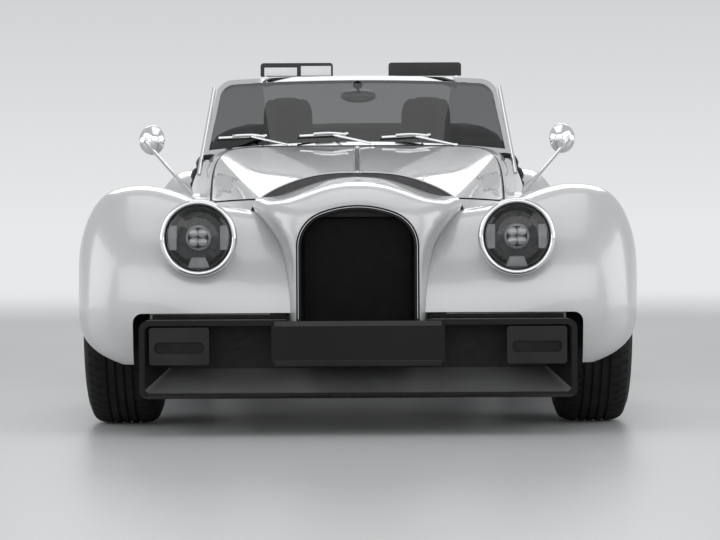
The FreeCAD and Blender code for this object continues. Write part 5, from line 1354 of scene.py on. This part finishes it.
class ROADSTER_OT_hood(bpy.types.Operator):
    """Fold the cloth hood down behind the seats and strap it"""
    bl_idname = "roadster.hood"
    bl_label = "Folded hood"

    # The heights where the folds meet, and the mesh size of the folded bundle
    LAYERS, EVEN_MESH = (0.805, 0.862, 0.915, 0.965), 0.0095
    # How the folds wander and bow, how deep and wide they are, and the ripples and crease between them
    WANDER, BOW, FOLD_DEPTH, FOLD_WIDTH = 0.010, 0.012, 0.013, 0.0085
    RIPPLE, CREASE, CREASE_WIDTH = 0.0045, 0.006, 0.012
    STRAP_INNER, STRAP_OUTER, STRAP_FOOT, STRAP_THICKNESS = 0.405, 0.437, 0.76, 0.003

    def execute(self, context):
        hood = skin_of("folded_hood")
        even = hood.modifiers.new("Even mesh", "REMESH")
        even.mode = "VOXEL"
        even.voxel_size = self.EVEN_MESH
        apply_modifiers(hood)
        edit(hood, "VERT")
        mesh = bmesh.from_edit_mesh(hood.data)
        mesh.normal_update()
        moves = []
        for vertex in mesh.verts:
            place = vertex.co
            wander = self.WANDER * noise.noise(Vector((place.x * 2.2, place.y * 3.0, 1.7)))
            pull = 0.002
            for layer in self.LAYERS:
                gap = abs(place.z - layer - wander - self.BOW * math.cos(place.x * 4.3))
                pull += self.FOLD_DEPTH * math.exp(-(gap / self.FOLD_WIDTH) ** 2)
            side = 1 - abs(vertex.normal.z) ** 3
            ripple = self.RIPPLE * noise.noise(Vector((place.x * 7, place.y * 16, place.z * 9)))
            crease = (place.y - 0.765 - 0.03 * math.cos(place.x * 2)) / self.CREASE_WIDTH
            top_fold = self.CREASE * math.exp(-(crease ** 2))
            moves.append(-vertex.normal * (pull * side + top_fold * (1 - side) + 0.004 + ripple))
        for vertex, move in zip(mesh.verts, moves):
            vertex.co += move
        bmesh.update_edit_mesh(hood.data)
        close_edit()
        strap_source = copied(hood)
        finish_subdivided(hood)
        settle(hood, "hood_stack", "hood_cloth", smooth=60, replaces=["folded_hood"])
        self.make_straps(strap_source)
        return {"FINISHED"}

    def make_straps(self, source):
        """Two bands of the bundle's own skin, thickened into webbing."""

        def beside_strap(at, normal):
            return not (self.STRAP_INNER < abs(at.x) < self.STRAP_OUTER and at.z > self.STRAP_FOOT)

        cut_away(source, beside_strap)
        close_edit()
        modifier = source.modifiers.new("Webbing", "SOLIDIFY")
        modifier.thickness = self.STRAP_THICKNESS
        modifier.offset = 1
        apply_modifiers(source)
        settle(source, "hood_straps", "black_leather", smooth=50)


class ROADSTER_OT_cabin(bpy.types.Operator):
    """Lay the carpets and fit the dials and the gear lever's gaiter"""
    bl_idname = "roadster.cabin"
    bl_label = "Cabin"

    # Each dial's place across and up, and its radius
    DIALS = ((0.045, 0.762, 0.040), (-0.045, 0.762, 0.040), (0.115, 0.735, 0.026), (-0.115, 0.735, 0.026),
             (0.0, 0.700, 0.024))
    TICKS, TICK_CIRCLE = 9, 0.86

    def execute(self, context):
        for side_name, side in SIDES:
            low, high = sorted((side * 0.095, side * 0.500))
            mat = block((low, -0.300, 0.1905), (high, 0.020, 0.199))
            edit(mat)
            pick_edges(mat, lambda a, b: abs(a.z - b.z) > 0.004)
            bpy.ops.mesh.bevel(offset=0.040, segments=6)
            close_edit()
            bevelled(mat, 0.003, 3)
            settle(mat, f"floor_mat_{side_name}", "black_carpet")
        rims, faces, needles = [], [], []
        for x, z, radius in self.DIALS:
            centre = Vector((x, -0.0700, z))
            rims.append(turned([(0.0, radius + 0.005), (0.006, radius + 0.004), (0.008, radius + 0.001),
                                (0.004, radius), (0.0, radius), (0.0, radius + 0.005)], BACKWARD, centre, 48))
            faces.append(turned([(0.0005, radius + 0.001), (0.0015, radius), (0.0018, 0.0)], BACKWARD, centre,
                                48))
            needle = block((x - 0.0009, -0.0680, z - radius * 0.15), (x + 0.0009, -0.0668, z + radius * 0.78))
            needles.append(bevelled(needle, 0.0003, 1))
            for tick in range(self.TICKS):
                around = math.radians(-30 + tick * 30)
                out = radius * self.TICK_CIRCLE
                spot = Vector((x + math.cos(around) * out, -0.0680, z + math.sin(around) * out))
                needles.append(disc(spot, 0.0011, 0.001, BACKWARD, 10))
        settle(joined(rims), "dial_rims", "bright_chrome")
        settle(joined(faces), "dial_faces", "gloss_black")
        settle(joined(needles), "dial_needles", "visor_card")
        gaiter = turned([(0.0, 0.046), (0.012, 0.044), (0.022, 0.035), (0.030, 0.033), (0.038, 0.024),
                         (0.047, 0.021), (0.056, 0.012), (0.066, 0.0085)],
                        (0, -0.28, 0.96), (0, 0.149, 0.394), 48)
        settle(gaiter, "gear_gaiter", "black_leather", smooth=60)
        return {"FINISHED"}


class ROADSTER_OT_bright_trim(bpy.types.Operator):
    """Fit the door handles, the rear lamps' rims and the exhaust tips"""
    bl_idname = "roadster.bright_trim"
    bl_label = "Bright trim"

    def execute(self, context):
        for side_name, side in SIDES:
            settle(self.make_handle(side, side_name), f"door_handle_{side_name}", "bright_chrome",
                   f"door_{side_name}")
        rim = turned([(-0.050, 0.0465), (-0.002, 0.0465), (0.003, 0.0500), (0.007, 0.0470), (0.006, 0.0425),
                      (0.000, 0.0405)], BACKWARD, (0.700, 1.752, 0.540), 64)
        tip = turned([(-0.060, 0.0335), (0.000, 0.0335), (0.004, 0.0315), (0.001, 0.0290), (-0.055, 0.0285)],
                     BACKWARD, (0.412, 1.908, 0.210), 48)
        for name, part in (("rear_lamp_rim", rim), ("exhaust_tip", tip)):
            settle_pair(part, name, "bright_chrome")
        return {"FINISHED"}

    def make_handle(self, side, side_name):
        """A lever on a round rose, laid on the door where its skin is."""
        hit, point, normal = side_skin(f"door_{side_name}", side, 0.470, 0.690)
        if not hit:
            raise ValueError(f"the door's skin on the {side_name} isn't where the handle goes")
        rose = turned([(-0.002, 0.021), (0.003, 0.020), (0.006, 0.014), (0.007, 0.0)], normal, point, 40)
        reach = point + normal * 0.026
        lever = tube([point + normal * 0.004, reach, reach + Vector((0, -0.020, 0)),
                      reach + Vector((0, -0.060, -0.002)), reach + Vector((0, -0.095, -0.004))], 0.0065, 16)
        return joined([rose, lever])


class ROADSTER_OT_size_note(bpy.types.Operator):
    """Bring the view layer up to date"""
    bl_idname = "roadster.size_note"
    bl_label = "Size note"

    def execute(self, context):
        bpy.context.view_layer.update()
        return {"FINISHED"}


class ROADSTER_PT_panel(bpy.types.Panel):
    bl_idname = "ROADSTER_PT_panel"
    bl_label = "Roadster"
    bl_space_type = "VIEW_3D"
    bl_region_type = "UI"
    bl_category = "Roadster"

    def draw(self, context):
        for title, settings in SETTINGS.items():
            box = self.layout.box()
            box.label(text=title)
            group = getattr(context.scene, settings[0])
            for name in settings[1].__annotations__:
                box.prop(group, name)
        for operator in OPERATORS:
            self.layout.operator(operator.bl_idname)


SETTINGS = {
    "Paint": ("roadster_paint", PaintSettings),
    "Tyres": ("roadster_tyres", TyreSettings),
    "Soft goods": ("roadster_soft", SoftSettings),
    "Trim": ("roadster_trim", TrimSettings),
    "Stage": ("roadster_stage", StageSettings),
}
OPERATORS = (
    ROADSTER_OT_finishes, ROADSTER_OT_stage, ROADSTER_OT_tyres, ROADSTER_OT_wheels, ROADSTER_OT_grille,
    ROADSTER_OT_nose, ROADSTER_OT_screen, ROADSTER_OT_seats, ROADSTER_OT_hood, ROADSTER_OT_cabin,
    ROADSTER_OT_bright_trim, ROADSTER_OT_size_note,
)


def register():
    for name, group in SETTINGS.values():
        bpy.utils.register_class(group)
        setattr(bpy.types.Scene, name, bpy.props.PointerProperty(type=group))
    for operator in OPERATORS:
        bpy.utils.register_class(operator)
    bpy.utils.register_class(ROADSTER_PT_panel)


def unregister():
    bpy.utils.unregister_class(ROADSTER_PT_panel)
    for operator in reversed(OPERATORS):
        bpy.utils.unregister_class(operator)
    for name, group in SETTINGS.values():
        delattr(bpy.types.Scene, name)
        bpy.utils.unregister_class(group)


def main():
    register()
    for operator in OPERATORS:
        group, name = operator.bl_idname.split(".")
        getattr(getattr(bpy.ops, group), name)()


if __name__ == "__main__":
    main()
